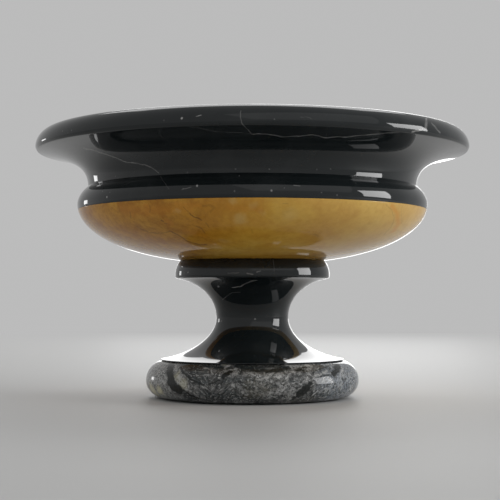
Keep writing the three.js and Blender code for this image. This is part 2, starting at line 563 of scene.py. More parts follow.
class Graph:
    """A material's node tree, with short words for the nodes that a stone needs."""

    BACK = Span(-30 * MM, 10 * MM)  # depth over which the unseen half of the part begins
    OVERRUN = 0.3  # share of a vein's width by which each stretch runs past its ends
    END_START = -0.1 * MM  # where a stretch of a vein begins to fade, from its end
    END_STOP = 0.8 * MM  # where it has faded out
    PATCH_CORE = 0.2  # share of a patch's radius that has its full strength
    LINE_CORE = 0.25  # share of a winding line's width that has its full strength

    def __init__(self, name: str) -> None:
        """Starts a material with its own shader and object coordinates.

        Args:
            name: The material's name.
        """
        self.material = bpy.data.materials.new(name)
        self.material.use_nodes = True
        self.tree = self.material.node_tree
        self.shader = self.tree.nodes["Principled BSDF"]
        self.place = self.tree.nodes.new("ShaderNodeTexCoord").outputs["Object"]

    def put(self, socket: Socket, value: object) -> None:
        """Links a socket to another, or sets its value.

        Args:
            socket: The input socket.
            value: The output socket to link it to, or its value.
        """
        if isinstance(value, Socket):
            self.tree.links.new(value, socket)
        else:
            socket.default_value = value

    def add(self, kind: str, inputs: dict[str | int, object], **settings: str) -> bpy.types.Node:
        """Adds a node.

        Args:
            kind: The node type's name, without the word that all of them begin with.
            inputs: Output sockets or values for its inputs, by their names or numbers.
            settings: Values of its own properties.

        Returns:
            The node.
        """
        node = self.tree.nodes.new("ShaderNode" + kind)
        for key, value in settings.items():
            setattr(node, key, value)
        for key, value in inputs.items():
            self.put(node.inputs[key], value)
        return node

    def set(self, **values: object) -> None:
        """Sets or links the shader's inputs; underscores stand for spaces."""
        for key, value in values.items():
            self.put(self.shader.inputs[key.replace("_", " ")], value)

    def math(self, operation: str, first: object, second: object = 0.0) -> Socket:
        """One sum on two numbers."""
        return self.add("Math", {0: first, 1: second}, operation=operation).outputs[0]

    def vector(self, operation: str, first: object, second: object) -> bpy.types.Node:
        """One sum on two vectors."""
        return self.add("VectorMath", {0: first, 1: second}, operation=operation)

    def split(self, place: Socket) -> bpy.types.NodeOutputs:
        """The three numbers of a place, named X, Y and Z."""
        return self.add("SeparateXYZ", {0: place}).outputs

    def laid(self, slant: Slant) -> Socket:
        """Object coordinates moved, turned and stretched, to lay a pattern at a slant."""
        turn = tuple(math.radians(angle) for angle in slant.turn)
        inputs = {"Vector": self.place, "Location": slant.shift, "Rotation": turn, "Scale": slant.stretch}
        return self.add("Mapping", inputs).outputs["Vector"]

    def noise(self, noise: Noise, place: Socket | None = None, colour: bool = False) -> Socket:
        """A noise as a number or a colour.

        Args:
            noise: The noise.
            place: Coordinates, or none for the object's own.
            colour: Whether to give the colour output, three noises in one.

        Returns:
            The noise.
        """
        inputs = {"Vector": self.place if place is None else place, "Scale": noise.scale,
                  "Detail": noise.detail, "Roughness": noise.rough, "Distortion": noise.warp}
        return self.add("TexNoise", inputs).outputs["Color" if colour else "Fac"]

    def warped(self, push: Push) -> Socket:
        """Object coordinates pushed about by noise, so that a pattern flows.

        Args:
            push: The push.

        Returns:
            The coordinates.
        """
        noise = self.noise(Noise(push.scale, push.detail, push.rough), colour=True)
        centred = self.vector("SUBTRACT", noise, (0.5, 0.5, 0.5)).outputs[0]
        pushed = self.vector("MULTIPLY", centred, (2 * push.amount,) * 3).outputs[0]
        return self.vector("ADD", self.place, pushed).outputs[0]

    def remap(self, value: Socket, span: Span) -> Socket:
        """A number carried smoothly over a span."""
        inputs = {"Value": value, "From Min": span.start, "From Max": span.stop,
                  "To Min": span.first, "To Max": span.last}
        return self.add("MapRange", inputs, interpolation_type="SMOOTHSTEP").outputs["Result"]

    def layer(self, layer: Layer, place: Socket | None = None) -> Socket:
        """A layer's noise carried over its span, at the object's own coordinates or others."""
        return self.remap(self.noise(layer.noise, place), layer.span)

    def net(self, net: Net, along: Socket, where: Socket | None = None) -> Socket:
        """How much of a net of winding lines shows at a point.

        A line is full where the noise is at its middle value, and fades out a width away from it.

        Args:
            net: The net.
            along: Coordinates of its lines.
            where: Coordinates of the places where they show, or none for the object's own.

        Returns:
            The share, from 0 to 1.
        """
        apart = self.math("ABSOLUTE", self.math("SUBTRACT", self.noise(net.noise, along), 0.5))
        line = self.remap(apart, Span(self.LINE_CORE * net.width, net.width, 1.0, 0.0))
        shown = self.math("MULTIPLY", line, self.layer(net.places, where))
        return self.math("MULTIPLY", shown, net.strength)

    def ramp(self, value: Socket, stops: Stops) -> Socket:
        """A colour for each value, blended between stops.

        Args:
            value: The value.
            stops: Values in rising order, each with its colour.

        Returns:
            The colour.
        """
        node = self.add("ValToRGB", {"Fac": value})
        elements = node.color_ramp.elements
        while len(elements) < len(stops):
            elements.new(0.5)
        for element, (position, colour) in zip(elements, stops):
            element.position = position
            element.color = (*colour, 1.0)
        return node.outputs["Color"]

    def mix(self, share: object, first: Socket | Colour, second: Socket | Colour) -> Socket:
        """A blend of two colours, by the node's inputs and output for colours: 6, 7 and 2.

        Args:
            share: The second colour's share.
            first: The first colour.
            second: The second colour.

        Returns:
            The blend.
        """
        tints = [(*tint, 1.0) if isinstance(tint, tuple) else tint for tint in (first, second)]
        return self.add("Mix", {0: share, 6: tints[0], 7: tints[1]}, data_type="RGBA").outputs[2]

    def near(self, centre: Array, span: Span, place: Socket | None = None) -> Socket:
        """A value for the distance from a point.

        Args:
            centre: The point.
            span: Distances and their values.
            place: Coordinates, or none for the object's own.

        Returns:
            The value.
        """
        base = self.place if place is None else place
        apart = self.vector("DISTANCE", base, tuple(centre.tolist()))
        return self.remap(apart.outputs["Value"], span)

    def crack(self, vein: Vein, outside: Array, wander: Socket) -> Socket:
        """How much of a vein shows at a point.

        Each stretch of the vein is the plane through the eye and two of its pixels, bent by noise
        and kept near the middle of the stretch, so the line runs on into the stone.

        Args:
            vein: The vein.
            outside: The stone's outside as rows of radius and height.
            wander: Noise that bends the plane, in metres.

        Returns:
            The share, from 0 to 1.
        """
        shown: object = 0.0
        hits = [SIGHT.touch(pixel, outside) for pixel in vein.pixels]
        across = Span((1 - vein.soft) * vein.width, vein.width, 1.0, 0.0)
        for start, end, first, last in zip(vein.pixels, vein.pixels[1:], hits, hits[1:]):
            normal = np.cross(SIGHT.ray(start), SIGHT.ray(end))
            normal /= np.linalg.norm(normal)
            product = self.vector("DOT_PRODUCT", self.place, tuple(normal.tolist()))
            apart = self.math("SUBTRACT", product.outputs["Value"], float(normal @ SIGHT.eye))
            line = self.remap(self.math("ABSOLUTE", self.math("ADD", apart, wander)), across)
            half = 0.5 * float(np.linalg.norm(last - first)) + self.OVERRUN * vein.width
            ends = Span(half + self.END_START, half + self.END_STOP, 1.0, 0.0)
            close = self.near(0.5 * (first + last), ends)
            shown = self.math("MAXIMUM", shown, self.math("MULTIPLY", line, close))
        return self.math("MULTIPLY", shown, vein.strength)

    def cracks(self, veins: tuple[Vein, ...], outside: Array, bend: Bend) -> Socket | float:
        """All of a stone's veins together.

        Args:
            veins: The veins.
            outside: The stone's outside as rows of radius and height.
            bend: The push that bends them.

        Returns:
            The share at a point, from 0 to 1.
        """
        noise = self.noise(Noise(bend.scale, bend.detail, bend.rough))
        wander = self.math("MULTIPLY", self.math("SUBTRACT", noise, 0.5), 2 * bend.amount)
        share: object = 0.0
        for vein in veins:
            share = self.math("MAXIMUM", share, self.crack(vein, outside, wander))
        return share

    def patches(self, patches: tuple[Patch, ...], outside: Array, ragged: Socket) -> Socket | float:
        """All of a stone's patches together, with ragged edges.

        Args:
            patches: The patches.
            outside: The stone's outside as rows of radius and height.
            ragged: Coordinates pushed about by noise.

        Returns:
            The share at a point, from 0 to 1.
        """
        share: object = 0.0
        for patch in patches:
            span = Span(self.PATCH_CORE * patch.radius, patch.radius, 1.0, 0.0)
            spot = self.near(SIGHT.touch(patch.pixel, outside), span, ragged)
            share = self.math("MAXIMUM", share, self.math("MULTIPLY", spot, patch.strength))
        return share

    def back(self) -> Socket:
        """1 on the half that the photograph doesn't show, 0 on the half that it does."""
        return self.remap(self.split(self.place)["Y"], self.BACK)

    def bump(self, height: Socket, strength: float, distance: float) -> Socket:
        """A normal tilted by a height, for the shader's Normal socket."""
        inputs = {"Strength": strength, "Distance": distance, "Height": height}
        return self.add("Bump", inputs).outputs["Normal"]


@dataclass(frozen=True)
class Marble:
    """What the marbles share: a polish with duller places, on a face that is never quite flat.

    Attributes:
        name: The material's name.
        polish: Roughness of the best places.
        dullness: How much rougher the dullest places are.
        dull_places: Noise that spreads them.
        dull_range: Values of that noise at the best and the dullest places.
        swell: Noise of the face's height.
        swell_share: Share of the swell in the height, beside veins that lie lower.
        relief: Strength of the height.
        relief_depth: Its depth.
        gleam: Specular level.
        refraction: Index of refraction.
    """

    name: str
    polish: float = 0.04
    dullness: float = 0.04
    dull_places: Noise = Noise(40, 5, 0.6)
    dull_range: tuple[float, float] = (0.3, 0.75)
    swell: Noise = Noise(30, 3)
    swell_share: float = 0.25
    relief: float = 0.05
    relief_depth: float = 0.3 * MM
    gleam: float = 0.34
    refraction: float = 1.5

    def make(self, outside: Array) -> bpy.types.Material:
        """Builds the material, which each marble defines, for a stone with this outside."""
        raise NotImplementedError

    def roughness(self, graph: Graph) -> Socket:
        """The roughness at a point."""
        span = Span(*self.dull_range, self.polish, self.polish + self.dullness)
        return graph.layer(Layer(self.dull_places, span))

    def shine(self, graph: Graph, colour: Socket, roughness: Socket, height: Socket) -> None:
        """Gives the shader its colour and its polished face.

        Args:
            graph: The material's graph.
            colour: The stone's colour.
            roughness: Its roughness.
            height: Its face's height.
        """
        graph.set(Base_Color=colour, Roughness=roughness)
        graph.set(Normal=graph.bump(height, self.relief, self.relief_depth))
        graph.set(IOR=self.refraction, Specular_IOR_Level=self.gleam)

    def sunk(self, graph: Graph, share: Socket) -> Socket:
        """The face's height, with veins that lie a little lower."""
        swell = graph.math("MULTIPLY", graph.noise(self.swell), self.swell_share)
        return graph.math("SUBTRACT", swell, share)


@dataclass(frozen=True)
class BlackMarble(Marble):
    """Near-black marble with hairline pale veins and a few calcite specks.

    Fields that end in push or bend say how noise moves a pattern, and a layer or a net is named
    for what it shows; hairs and grains have no set places. Veins and specks are the photograph's.
    """

    polish: float = 0.03
    dullness: float = 0.02
    dull_places: Noise = Noise(35, 5, 0.6)
    relief: float = 0.06
    gleam: float = 0.42
    deep: Colour = (0.0085, 0.0115, 0.0125)
    cloud: Colour = (0.0180, 0.0215, 0.0225)
    calcite: Colour = (0.50, 0.49, 0.48)
    clouds: Layer = Layer(Noise(24, 8, 0.62), Span(0.45, 0.74))
    cloud_push: Push = Push(20 * MM, 14)
    fading: Layer = Layer(Noise(160, 3, 0.7), Span(0.34, 0.58, 0.5, 1.0))
    vein_bend: Bend = Bend(1.1 * MM, 130)
    vein_roughness: float = 0.15
    speck_push: Push = Push(0.4 * MM, 900)
    hairs: Net = Net(Noise(11, 6, 0.55, 0.4), 0.005, Layer(Noise(16, 2), Span(0.5, 0.62)), 0.16)
    hair_slant: Slant = Slant((0.31, 0.17, 0.05), (25, 35, 20), (0.7, 1.0, 1.6))
    grain_cells: float = 190
    grain_span: Span = Span(0.05, 0.12, 1.0, 0.0)
    grain_places: Layer = Layer(Noise(60, 2), Span(0.64, 0.72))
    grain_strength: float = 0.22
    veins: tuple[Vein, ...] = ()
    specks: tuple[Patch, ...] = ()

    def make(self, outside: Array) -> bpy.types.Material:
        """Builds the material.

        Args:
            outside: The stone's outside, for the veins seen in the photograph.

        Returns:
            The material.
        """
        graph = Graph(self.name)
        cloud = graph.layer(self.clouds, graph.warped(self.cloud_push))
        ground = graph.mix(cloud, self.deep, self.cloud)
        veins = graph.cracks(self.veins, outside, self.vein_bend)
        share = graph.math("MULTIPLY", veins, graph.layer(self.fading))
        slant = graph.laid(self.hair_slant)
        hairs = graph.math("MULTIPLY", graph.net(self.hairs, slant, slant), graph.back())
        share = graph.math("MAXIMUM", share, hairs)
        specks = graph.patches(self.specks, outside, graph.warped(self.speck_push))
        share = graph.math("MAXIMUM", share, graph.math("MAXIMUM", specks, self.grains(graph)))
        duller = graph.math("MULTIPLY", share, self.vein_roughness)
        roughness = graph.math("ADD", self.roughness(graph), duller)
        self.shine(graph, graph.mix(share, ground, self.calcite), roughness, self.sunk(graph, share))
        return graph.material

    def grains(self, graph: Graph) -> Socket:
        """Rare pin-head grains of calcite, one in the middle of a few small cells.

        Args:
            graph: The material's graph.

        Returns:
            The share at a point, from 0 to 1.
        """
        cells = graph.add("TexVoronoi", {"Vector": graph.place, "Scale": self.grain_cells})
        speck = graph.remap(cells.outputs["Distance"], self.grain_span)
        rare = graph.math("MULTIPLY", speck, graph.layer(self.grain_places))
        return graph.math("MULTIPLY", rare, self.grain_strength)


@dataclass(frozen=True)
class YellowMarble(Marble):
    """Ochre marble: mottled and browner on the left, paler on the right.

    A field that ends in side gives a tone's share by the distance to the right of the axis.
    Milk, streaks and lines are the photograph's; the net of threads has no set places.
    """

    tones: Stops = (
        (0.30, (0.490, 0.215, 0.022)),
        (0.43, (0.610, 0.310, 0.038)),
        (0.53, (0.680, 0.385, 0.054)),
        (0.63, (0.710, 0.430, 0.074)),
        (0.76, (0.750, 0.500, 0.130)),
    )
    pale: Colour = (0.600, 0.405, 0.130)
    amber: Colour = (0.500, 0.225, 0.018)
    burnt: Colour = (0.320, 0.118, 0.007)
    milky: Colour = (0.680, 0.500, 0.200)
    rust: Colour = (0.560, 0.220, 0.022)
    thread: Colour = (0.100, 0.042, 0.010)
    ground: Noise = Noise(20, 9, 0.64)
    ground_push: Push = Push(14 * MM, 24)
    side_push: Push = Push(30 * MM, 11)
    pale_side: Span = Span(-10 * MM, 90 * MM, 0.0, 0.72)
    amber_side: Span = Span(-55 * MM, -10 * MM, 0.7, 0.0)
    mottle: Layer = Layer(Noise(75, 8, 0.75), Span(0.38, 0.66))
    mottle_push: Push = Push(6 * MM, 70)
    mottle_side: Span = Span(-55 * MM, -10 * MM, 0.72, 0.2)
    grain: Layer = Layer(Noise(300, 5, 0.7), Span(0.46, 0.62))
    grain_side: Span = Span(-60 * MM, 0.0, 0.42, 0.08)
    milk_push: Push = Push(3 * MM, 160)
    streak_bend: Bend = Bend(1.2 * MM, 60)
    line_bend: Bend = Bend(1.2 * MM, 150)
    threads: Net = Net(Noise(34, 6, 0.62), 0.011, Layer(Noise(20, 3), Span(0.46, 0.64)), 0.45)
    thread_shift: Slant = Slant((0.4, 0.2, 0.6))
    thread_back: Span = Span(0.0, 1.0, 0.15, 1.0)
    milk: tuple[Patch, ...] = ()
    streaks: tuple[Vein, ...] = ()
    lines: tuple[Vein, ...] = ()

    def make(self, outside: Array) -> bpy.types.Material:
        """Builds the material.

        Args:
            outside: The stone's outside, for the patches and streaks seen in the photograph.

        Returns:
            The material.
        """
        graph = Graph(self.name)
        flow = graph.warped(self.ground_push)
        across = graph.split(graph.warped(self.side_push))["X"]
        ground = graph.ramp(graph.noise(self.ground, flow), self.tones)
        ground = graph.mix(graph.remap(across, self.pale_side), ground, self.pale)
        ground = graph.mix(graph.remap(across, self.amber_side), ground, self.amber)
        mottle = graph.layer(self.mottle, graph.warped(self.mottle_push))
        mottle = graph.math("MULTIPLY", mottle, graph.remap(across, self.mottle_side))
        ground = graph.mix(mottle, ground, self.burnt)
        grain = graph.math("MULTIPLY", graph.layer(self.grain), graph.remap(across, self.grain_side))
        ground = graph.mix(grain, ground, self.burnt)
        milk = graph.patches(self.milk, outside, graph.warped(self.milk_push))
        ground = graph.mix(milk, ground, self.milky)
        ground = graph.mix(graph.cracks(self.streaks, outside, self.streak_bend), ground, self.rust)
        threads = graph.net(self.threads, flow, graph.laid(self.thread_shift))
        share = graph.math("MULTIPLY", threads, graph.remap(graph.back(), self.thread_back))
        share = graph.math("MAXIMUM", share, graph.cracks(self.lines, outside, self.line_bend))
        colour = graph.mix(share, ground, self.thread)
        self.shine(graph, colour, self.roughness(graph), self.sunk(graph, share))
        return graph.material


@dataclass(frozen=True)
class GreyMarble(Marble):
    """Grey marble: granular, streaked along a zigzag flow, with heavy dark veins.

    The flow falls and rises between two valleys, and a field that ends in side gives a tone's
    share by the distance to the right of the axis; the lighter ends are partly the stone's own
    tone and partly painted light, where the ends catch light from the sides. Bands, lights,
    shades, creamy patches and sparks are the photograph's; the bands and shades also hold
    painted shade, a dark arc on the top under the stem's flange. The broad and fine veins have
    no set places.
    """

    polish: float = 0.045
    dull_places: Noise = Noise(45, 5, 0.6)
    swell: Noise = Noise(32, 4)
    gleam: float = 0.29
    tones: Stops = (
        (0.425, (0.022, 0.024, 0.025)),
        (0.47, (0.056, 0.059, 0.060)),
        (0.515, (0.125, 0.127, 0.126)),
        (0.56, (0.240, 0.243, 0.240)),
        (0.605, (0.420, 0.424, 0.420)),
    )
    pale: Colour = (0.50, 0.505, 0.495)
    cool: Colour = (0.285, 0.335, 0.40)
    dark: Colour = (0.012, 0.014, 0.013)
    cream: Colour = (0.66, 0.63, 0.43)
    olive: Colour = (0.15, 0.135, 0.085)
    slate_and_shade: Colour = (0.050, 0.064, 0.068)
    grit: Colour = (0.030, 0.032, 0.031)
    valleys: tuple[float, float] = (-26 * MM, 9 * MM)
    steepness: float = 0.62
    stretch: Place = (0.75, 0.75, 2.1)
    flow_push: Push = Push(6 * MM, 55)
    streaks: Noise = Noise(60, 8, 0.72, 0.4)
    cloud: Noise = Noise(85, 7, 0.72)
    cloud_push: Push = Push(3 * MM, 220)
    warmth: Layer = Layer(Noise(48, 5, 0.6), Span(0.5, 0.66, 0.0, 0.3))
    side_push: Push = Push(8 * MM, 60)
    # Both ends are lighter: partly the stone's paler tone, partly painted light where the ends catch light
    # from the sides.
    pale_side: Span = Span(-34 * MM, -58 * MM, 0.0, 0.55)
    cool_and_lit_side: Span = Span(34 * MM, 52 * MM, 0.0, 0.42)
    light_fading: Span = Span(0.40, 0.52, 0.45, 1.0)
    light_bend: Bend = Bend(2.4 * MM, 190, rough=0.8)
    shade_fading: Span = Span(0.48, 0.58, 1.0, 0.75)
    shade_bend: Bend = Bend(2.4 * MM, 210, rough=0.8)
    band_bend: Bend = Bend(2.3 * MM, 260, rough=0.85)
    dark_grains: Layer = Layer(Noise(620, 3, 0.8), Span(0.53, 0.43, 0.0, 0.82))
    pale_grains: Layer = Layer(Noise(520, 3, 0.8), Span(0.54, 0.64, 0.0, 0.68))
    cream_push: Push = Push(3 * MM, 200)
    broad: Net = Net(Noise(17, 6, 0.6, 0.4), 0.04, Layer(Noise(30, 4), Span(0.46, 0.58, 0.0, 0.85)))
    fine: Net = Net(Noise(42, 6, 0.62, 0.5), 0.018, Layer(Noise(36, 3), Span(0.42, 0.6, 0.1, 0.8)))
    bands_and_shade: tuple[Vein, ...] = ()
    lights: tuple[Vein, ...] = ()
    shades: tuple[Vein, ...] = ()
    creamy: tuple[Patch, ...] = ()
    sparks: tuple[Patch, ...] = ()

    def make(self, outside: Array) -> bpy.types.Material:
        """Builds the material.

        Args:
            outside: The stone's outside, for the bands and patches seen in the photograph.

        Returns:
            The material.
        """
        graph = Graph(self.name)
        along = self.flow(graph)
        ground = self.clouds(graph, along, outside)
        ground = graph.mix(graph.layer(self.dark_grains), ground, self.grit)
        ground = graph.mix(graph.layer(self.pale_grains, along), ground, self.pale)
        cream = graph.patches(self.creamy, outside, graph.warped(self.cream_push))
        ground = graph.mix(cream, ground, self.cream)
        hidden = graph.math("MAXIMUM", graph.net(self.broad, along), graph.net(self.fine, along))
        hidden = graph.math("MULTIPLY", hidden, graph.back())
        # Dark veins, and painted shade under the stem's flange, take the dark colour.
        dark = graph.math("MAXIMUM", hidden, graph.cracks(self.bands_and_shade, outside, self.band_bend))
        ground = graph.mix(dark, ground, self.dark)
        sparks = graph.patches(self.sparks, outside, graph.place)
        colour = graph.mix(sparks, ground, self.pale)
        self.shine(graph, colour, self.roughness(graph), graph.noise(self.swell))
        return graph.material

    def clouds(self, graph: Graph, along: Socket, outside: Array) -> Socket:
        """The broad tones: flowing cloud, warm and cool tints, ends made lighter partly by painted light, and
        the photograph's own streaks, some of them painted shade under the stem's flange.

        Args:
            graph: The material's graph.
            along: The flow's coordinates.
            outside: The stone's outside as rows of radius and height.

        Returns:
            The colour.
        """
        ragged = graph.warped(self.cloud_push)
        streaks = graph.noise(self.streaks, along)
        cloud = graph.noise(self.cloud, ragged)
        ground = graph.ramp(graph.math("MULTIPLY", graph.math("ADD", streaks, cloud), 0.5), self.tones)
        warmth = graph.layer(self.warmth, ragged)
        ground = graph.mix(warmth, ground, self.olive)
        across = graph.split(graph.warped(self.side_push))["X"]
        # Lighter ends: partly the stone's tone, partly painted light from the sides.
        ground = graph.mix(graph.remap(across, self.pale_side), ground, self.pale)
        ground = graph.mix(graph.remap(across, self.cool_and_lit_side), ground, self.cool)
        lights = graph.cracks(self.lights, outside, self.light_bend)
        lights = graph.math("MULTIPLY", lights, graph.remap(cloud, self.light_fading))
        ground = graph.mix(lights, ground, self.pale)
        # Shades: dark clouds in the stone, and painted shade in an arc under the stem's flange.
        shades = graph.cracks(self.shades, outside, self.shade_bend)
        shades = graph.math("MULTIPLY", shades, graph.remap(streaks, self.shade_fading))
        return graph.mix(shades, ground, graph.mix(warmth, self.slate_and_shade, self.grit))

    def flow(self, graph: Graph) -> Socket:
        """Coordinates stretched along lines that fall and rise between two valleys.

        The height of a flow line is the steepness times the distance across to the nearer valley.

        Args:
            graph: The material's graph.

        Returns:
            The coordinates.
        """
        place = graph.split(graph.warped(self.flow_push))
        away = [graph.math("ABSOLUTE", graph.math("SUBTRACT", place["X"], valley)) for valley in self.valleys]
        rise = graph.math("MULTIPLY", graph.math("MINIMUM", *away), self.steepness)
        flat = (place["X"], place["Y"], graph.math("SUBTRACT", place["Z"], rise))
        inputs = {k: graph.math("MULTIPLY", flat[k], self.stretch[k]) for k in range(3)}
        return graph.add("CombineXYZ", inputs).outputs[0]


@dataclass(frozen=True)
class PlainFinish:
    """A hidden or minor surface: one tone broken up by noise in colour, roughness and height.

    Attributes:
        name: The material's name.
        tone: Its main colour.
        shade: Its second colour.
        scale: Features of its grain per metre.
        roughness: Its mean roughness.
        metallic: 1 for bare metal.
        relief: Depth of its grain.
        wear: How far the roughness goes either way.
        tone_span: Grain that takes the second and the main colour.
        wear_range: Grain at the smoothest and the roughest places.
        strength: Strength of the relief.
        detail: Octaves of the grain.
        rough: How much each finer octave keeps.
    """

    name: str
    tone: Colour
    shade: Colour
    scale: float
    roughness: float
    metallic: float = 0.0
    relief: float = 0.1 * MM
    wear: float = 0.06
    tone_span: Span = Span(0.35, 0.7)
    wear_range: tuple[float, float] = (0.3, 0.7)
    strength: float = 0.3
    detail: float = 6.0
    rough: float = 0.65

    def make(self) -> bpy.types.Material:
        """Builds the material.

        Returns:
            The material.
        """
        graph = Graph(self.name)
        grain = graph.noise(Noise(self.scale, self.detail, self.rough))
        graph.set(Base_Color=graph.mix(graph.remap(grain, self.tone_span), self.shade, self.tone))
        span = Span(*self.wear_range, self.roughness - self.wear, self.roughness + self.wear)
        graph.set(Roughness=graph.remap(grain, span), Metallic=self.metallic)
        graph.set(Normal=graph.bump(grain, self.strength, self.relief))
        return graph.material


@dataclass(frozen=True)
class TurnedPiece:
    """One piece turned about the upright axis.

    Attributes:
        node: The CAD node that it replaces.
        slot: The record's finish that it takes; not used by this script.
        edge: Length taken off each side of a corner.
        spacing: Distance between the points of its outline.
        sides: Number of columns round the axis.
    """

    node: str
    slot: Slot
    edge: float = 0.35 * MM
    spacing: float = 1.2 * MM
    sides: int = 288

    def outline(self) -> Outline:
        """The whole outline, which each turned piece defines."""
        raise NotImplementedError

    def outside(self) -> Array:
        """The outside, for sight lines.

        Returns:
            Rows of radius and height, in rising height.
        """
        points = self.outline().sampled(self.spacing, self.edge)
        highest = int(np.argmax(points[:, 1]))
        rows = points[:highest + 1]
        return rows[np.argsort(rows[:, 1], kind="stable")]

    def mesh(self) -> bpy.types.Object:
        """The outline turned about the axis."""
        points = self.outline().sampled(self.spacing, self.edge)
        return turned_mesh(self.node + "_turned", points, self.sides)

    def build(self, material: bpy.types.Material) -> bpy.types.Object:
        """Makes the piece and lets it stand for its CAD node.

        Args:
            material: The piece's finish.

        Returns:
            The piece.
        """
        piece = self.mesh()
        piece.data.materials.append(material)
        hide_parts(self.node)
        LOG.info("%s made, %d faces", piece.name, len(piece.data.polygons))
        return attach(piece, BODY)


@dataclass(frozen=True)
class Disc(TurnedPiece):
    """A plain disc."""

    def outline(self) -> Outline:
        """Out along the underside, up the edge and back to the axis."""
        radius, bottom, top = reach(self.node), low(self.node), high(self.node)
        return Outline(0.0, bottom).line(radius, bottom).line(radius, top).line(0.0, top)


@dataclass(frozen=True)
class FlatRing(TurnedPiece):
    """A washer, a lead cushion or a bed of compound: a flat ring with its edges just broken.

    Attributes:
        inner: Radius of its hole.
    """

    inner: float = 4.4 * MM
    edge: float = 0.12 * MM
    sides: int = 128

    def outline(self) -> Outline:
        """Round the ring's four sides.

        Returns:
            The closed outline.
        """
        outer, bottom, top = reach(self.node), low(self.node), high(self.node)
        line = Outline(self.inner, bottom).line(outer, bottom).line(outer, top)
        return line.line(self.inner, top).line(self.inner, bottom)


@dataclass(frozen=True)
class BoredStone(TurnedPiece):
    """A stone with a bore for the stud, and with a bed of compound in the joint above it.

    Attributes:
        bed_inner: Inner radius of the bed.
        bore_radius: Radius of the bore.
        pocket_radius: Radius of the pocket for a nut, in a stone that has one.
    """

    bed_inner: float = 14 * MM
    bore_radius: float = 4.5 * MM
    pocket_radius: float = 13 * MM


@dataclass(frozen=True)
class Bulge:
    """The round belly outside and the throat inside that the dish and the ring share.

    Attributes:
        widest: Radius of the widest circle.
        drop: Height from the belly's lowest point, were it whole, up to that circle.
        fullness: Exponent of the superellipse.
        joint_below: How far below that circle the black and yellow joint lies.
        throat: Radius inside at the joint.
    """

    widest: float = 113.3 * MM
    drop: float = 38.1 * MM
    fullness: float = 2.46
    joint_below: float = 3.6 * MM
    throat: float = 95.5 * MM

    @property
    def level(self) -> float:
        """Height of the widest circle, above the joint."""
        return low("rim_ring") + self.joint_below

    @property
    def joint_angle(self) -> float:
        """The belly's angle at the joint."""
        return math.acos(self.joint_below / self.drop)

    @property
    def joint_radius(self) -> float:
        """The belly's radius at the joint."""
        return self.widest * math.sin(self.joint_angle) ** (2 / self.fullness)

    @property
    def neck_angle(self) -> float:
        """The belly's angle at the dish's underside."""
        return math.acos((self.level - low("dish")) / self.drop)

    @property
    def neck_radius(self) -> float:
        """The belly's radius at the dish's underside."""
        return self.widest * math.sin(self.neck_angle) ** (2 / self.fullness)


BULGE = Bulge()


@dataclass(frozen=True)
class RimRing(TurnedPiece):
    """Black ring: shoulder, crease, cove, crisp arris under a round lip, and flared throat.

    Attributes:
        crease_radius: Radius at the crease between shoulder and cove.
        crease_rise: Its height above the widest circle.
        shoulder_rise: Length of the shoulder's upright handle at the widest circle.
        shoulder_out: Where the shoulder's last handle lies, outwards from the crease.
        shoulder_down: Where it lies below the crease.
        cove_rise: Length of the cove's upright handle at the crease.
        under_run: Length of the handle under the lip.
        under_slope: Its fall for each unit inwards.
        arris_inset: How far inside the lip the arris under it lies.
        arris_depth: How far the arris lies below the top.
        lip_round: Width of the lip's rounding on top.
        lip_depth: How far the lip's widest circle lies below the top.
        throat_height: How high the throat stands upright above the joint.
        throat_rise: Length of the handle that leads into it.
        mouth_run: Length of the throat's level handle at the mouth.
    """

    node: str = "rim_ring"
    slot: Slot = Slot.BLACK
    crease_radius: float = 106.5 * MM
    crease_rise: float = 11 * MM
    shoulder_rise: float = 1.9 * MM
    shoulder_out: float = 5.5 * MM
    shoulder_down: float = 3.65 * MM
    cove_rise: float = 15 * MM
    under_run: float = 19 * MM
    under_slope: float = 0.2
    arris_inset: float = 1.25 * MM
    arris_depth: float = 12.7 * MM
    lip_round: float = 9 * MM
    lip_depth: float = 10.2 * MM
    throat_height: float = 19 * MM
    throat_rise: float = 20 * MM
    mouth_run: float = 14 * MM

    def outline(self) -> Outline:
        """Up over shoulder, crease, cove and lip, and down the throat to the joint.

        Returns:
            The closed outline.
        """
        top, joint, level = high("rim_ring"), low("rim_ring"), BULGE.level
        lip, crease = reach("rim_ring"), level + self.crease_rise
        arris, under = lip - self.arris_inset, top - self.arris_depth
        crown, widest = lip - self.lip_round, top - self.lip_depth
        throat, inner = joint + self.throat_height, BULGE.throat
        line = Outline(BULGE.joint_radius, joint)
        line.belly(BULGE.widest, level, BULGE.drop, BULGE.fullness, BULGE.joint_angle, math.pi / 2)
        line.curve((BULGE.widest, level + self.shoulder_rise),
                   (self.crease_radius + self.shoulder_out, crease - self.shoulder_down),
                   (self.crease_radius, crease))
        line.curve((self.crease_radius, crease + self.cove_rise),
                   (arris - self.under_run, under - self.under_run * self.under_slope), (arris, under))
        line.bend((lip, (under + widest) / 2), (lip, widest))
        line.curve((lip, widest + self.lip_depth / 2), (crown + self.lip_round / 2, top), (crown, top))
        line.curve((crown - self.mouth_run, top), (inner, throat + self.throat_rise), (inner, throat))
        line.line(inner, joint)
        return line.line(BULGE.joint_radius, joint)


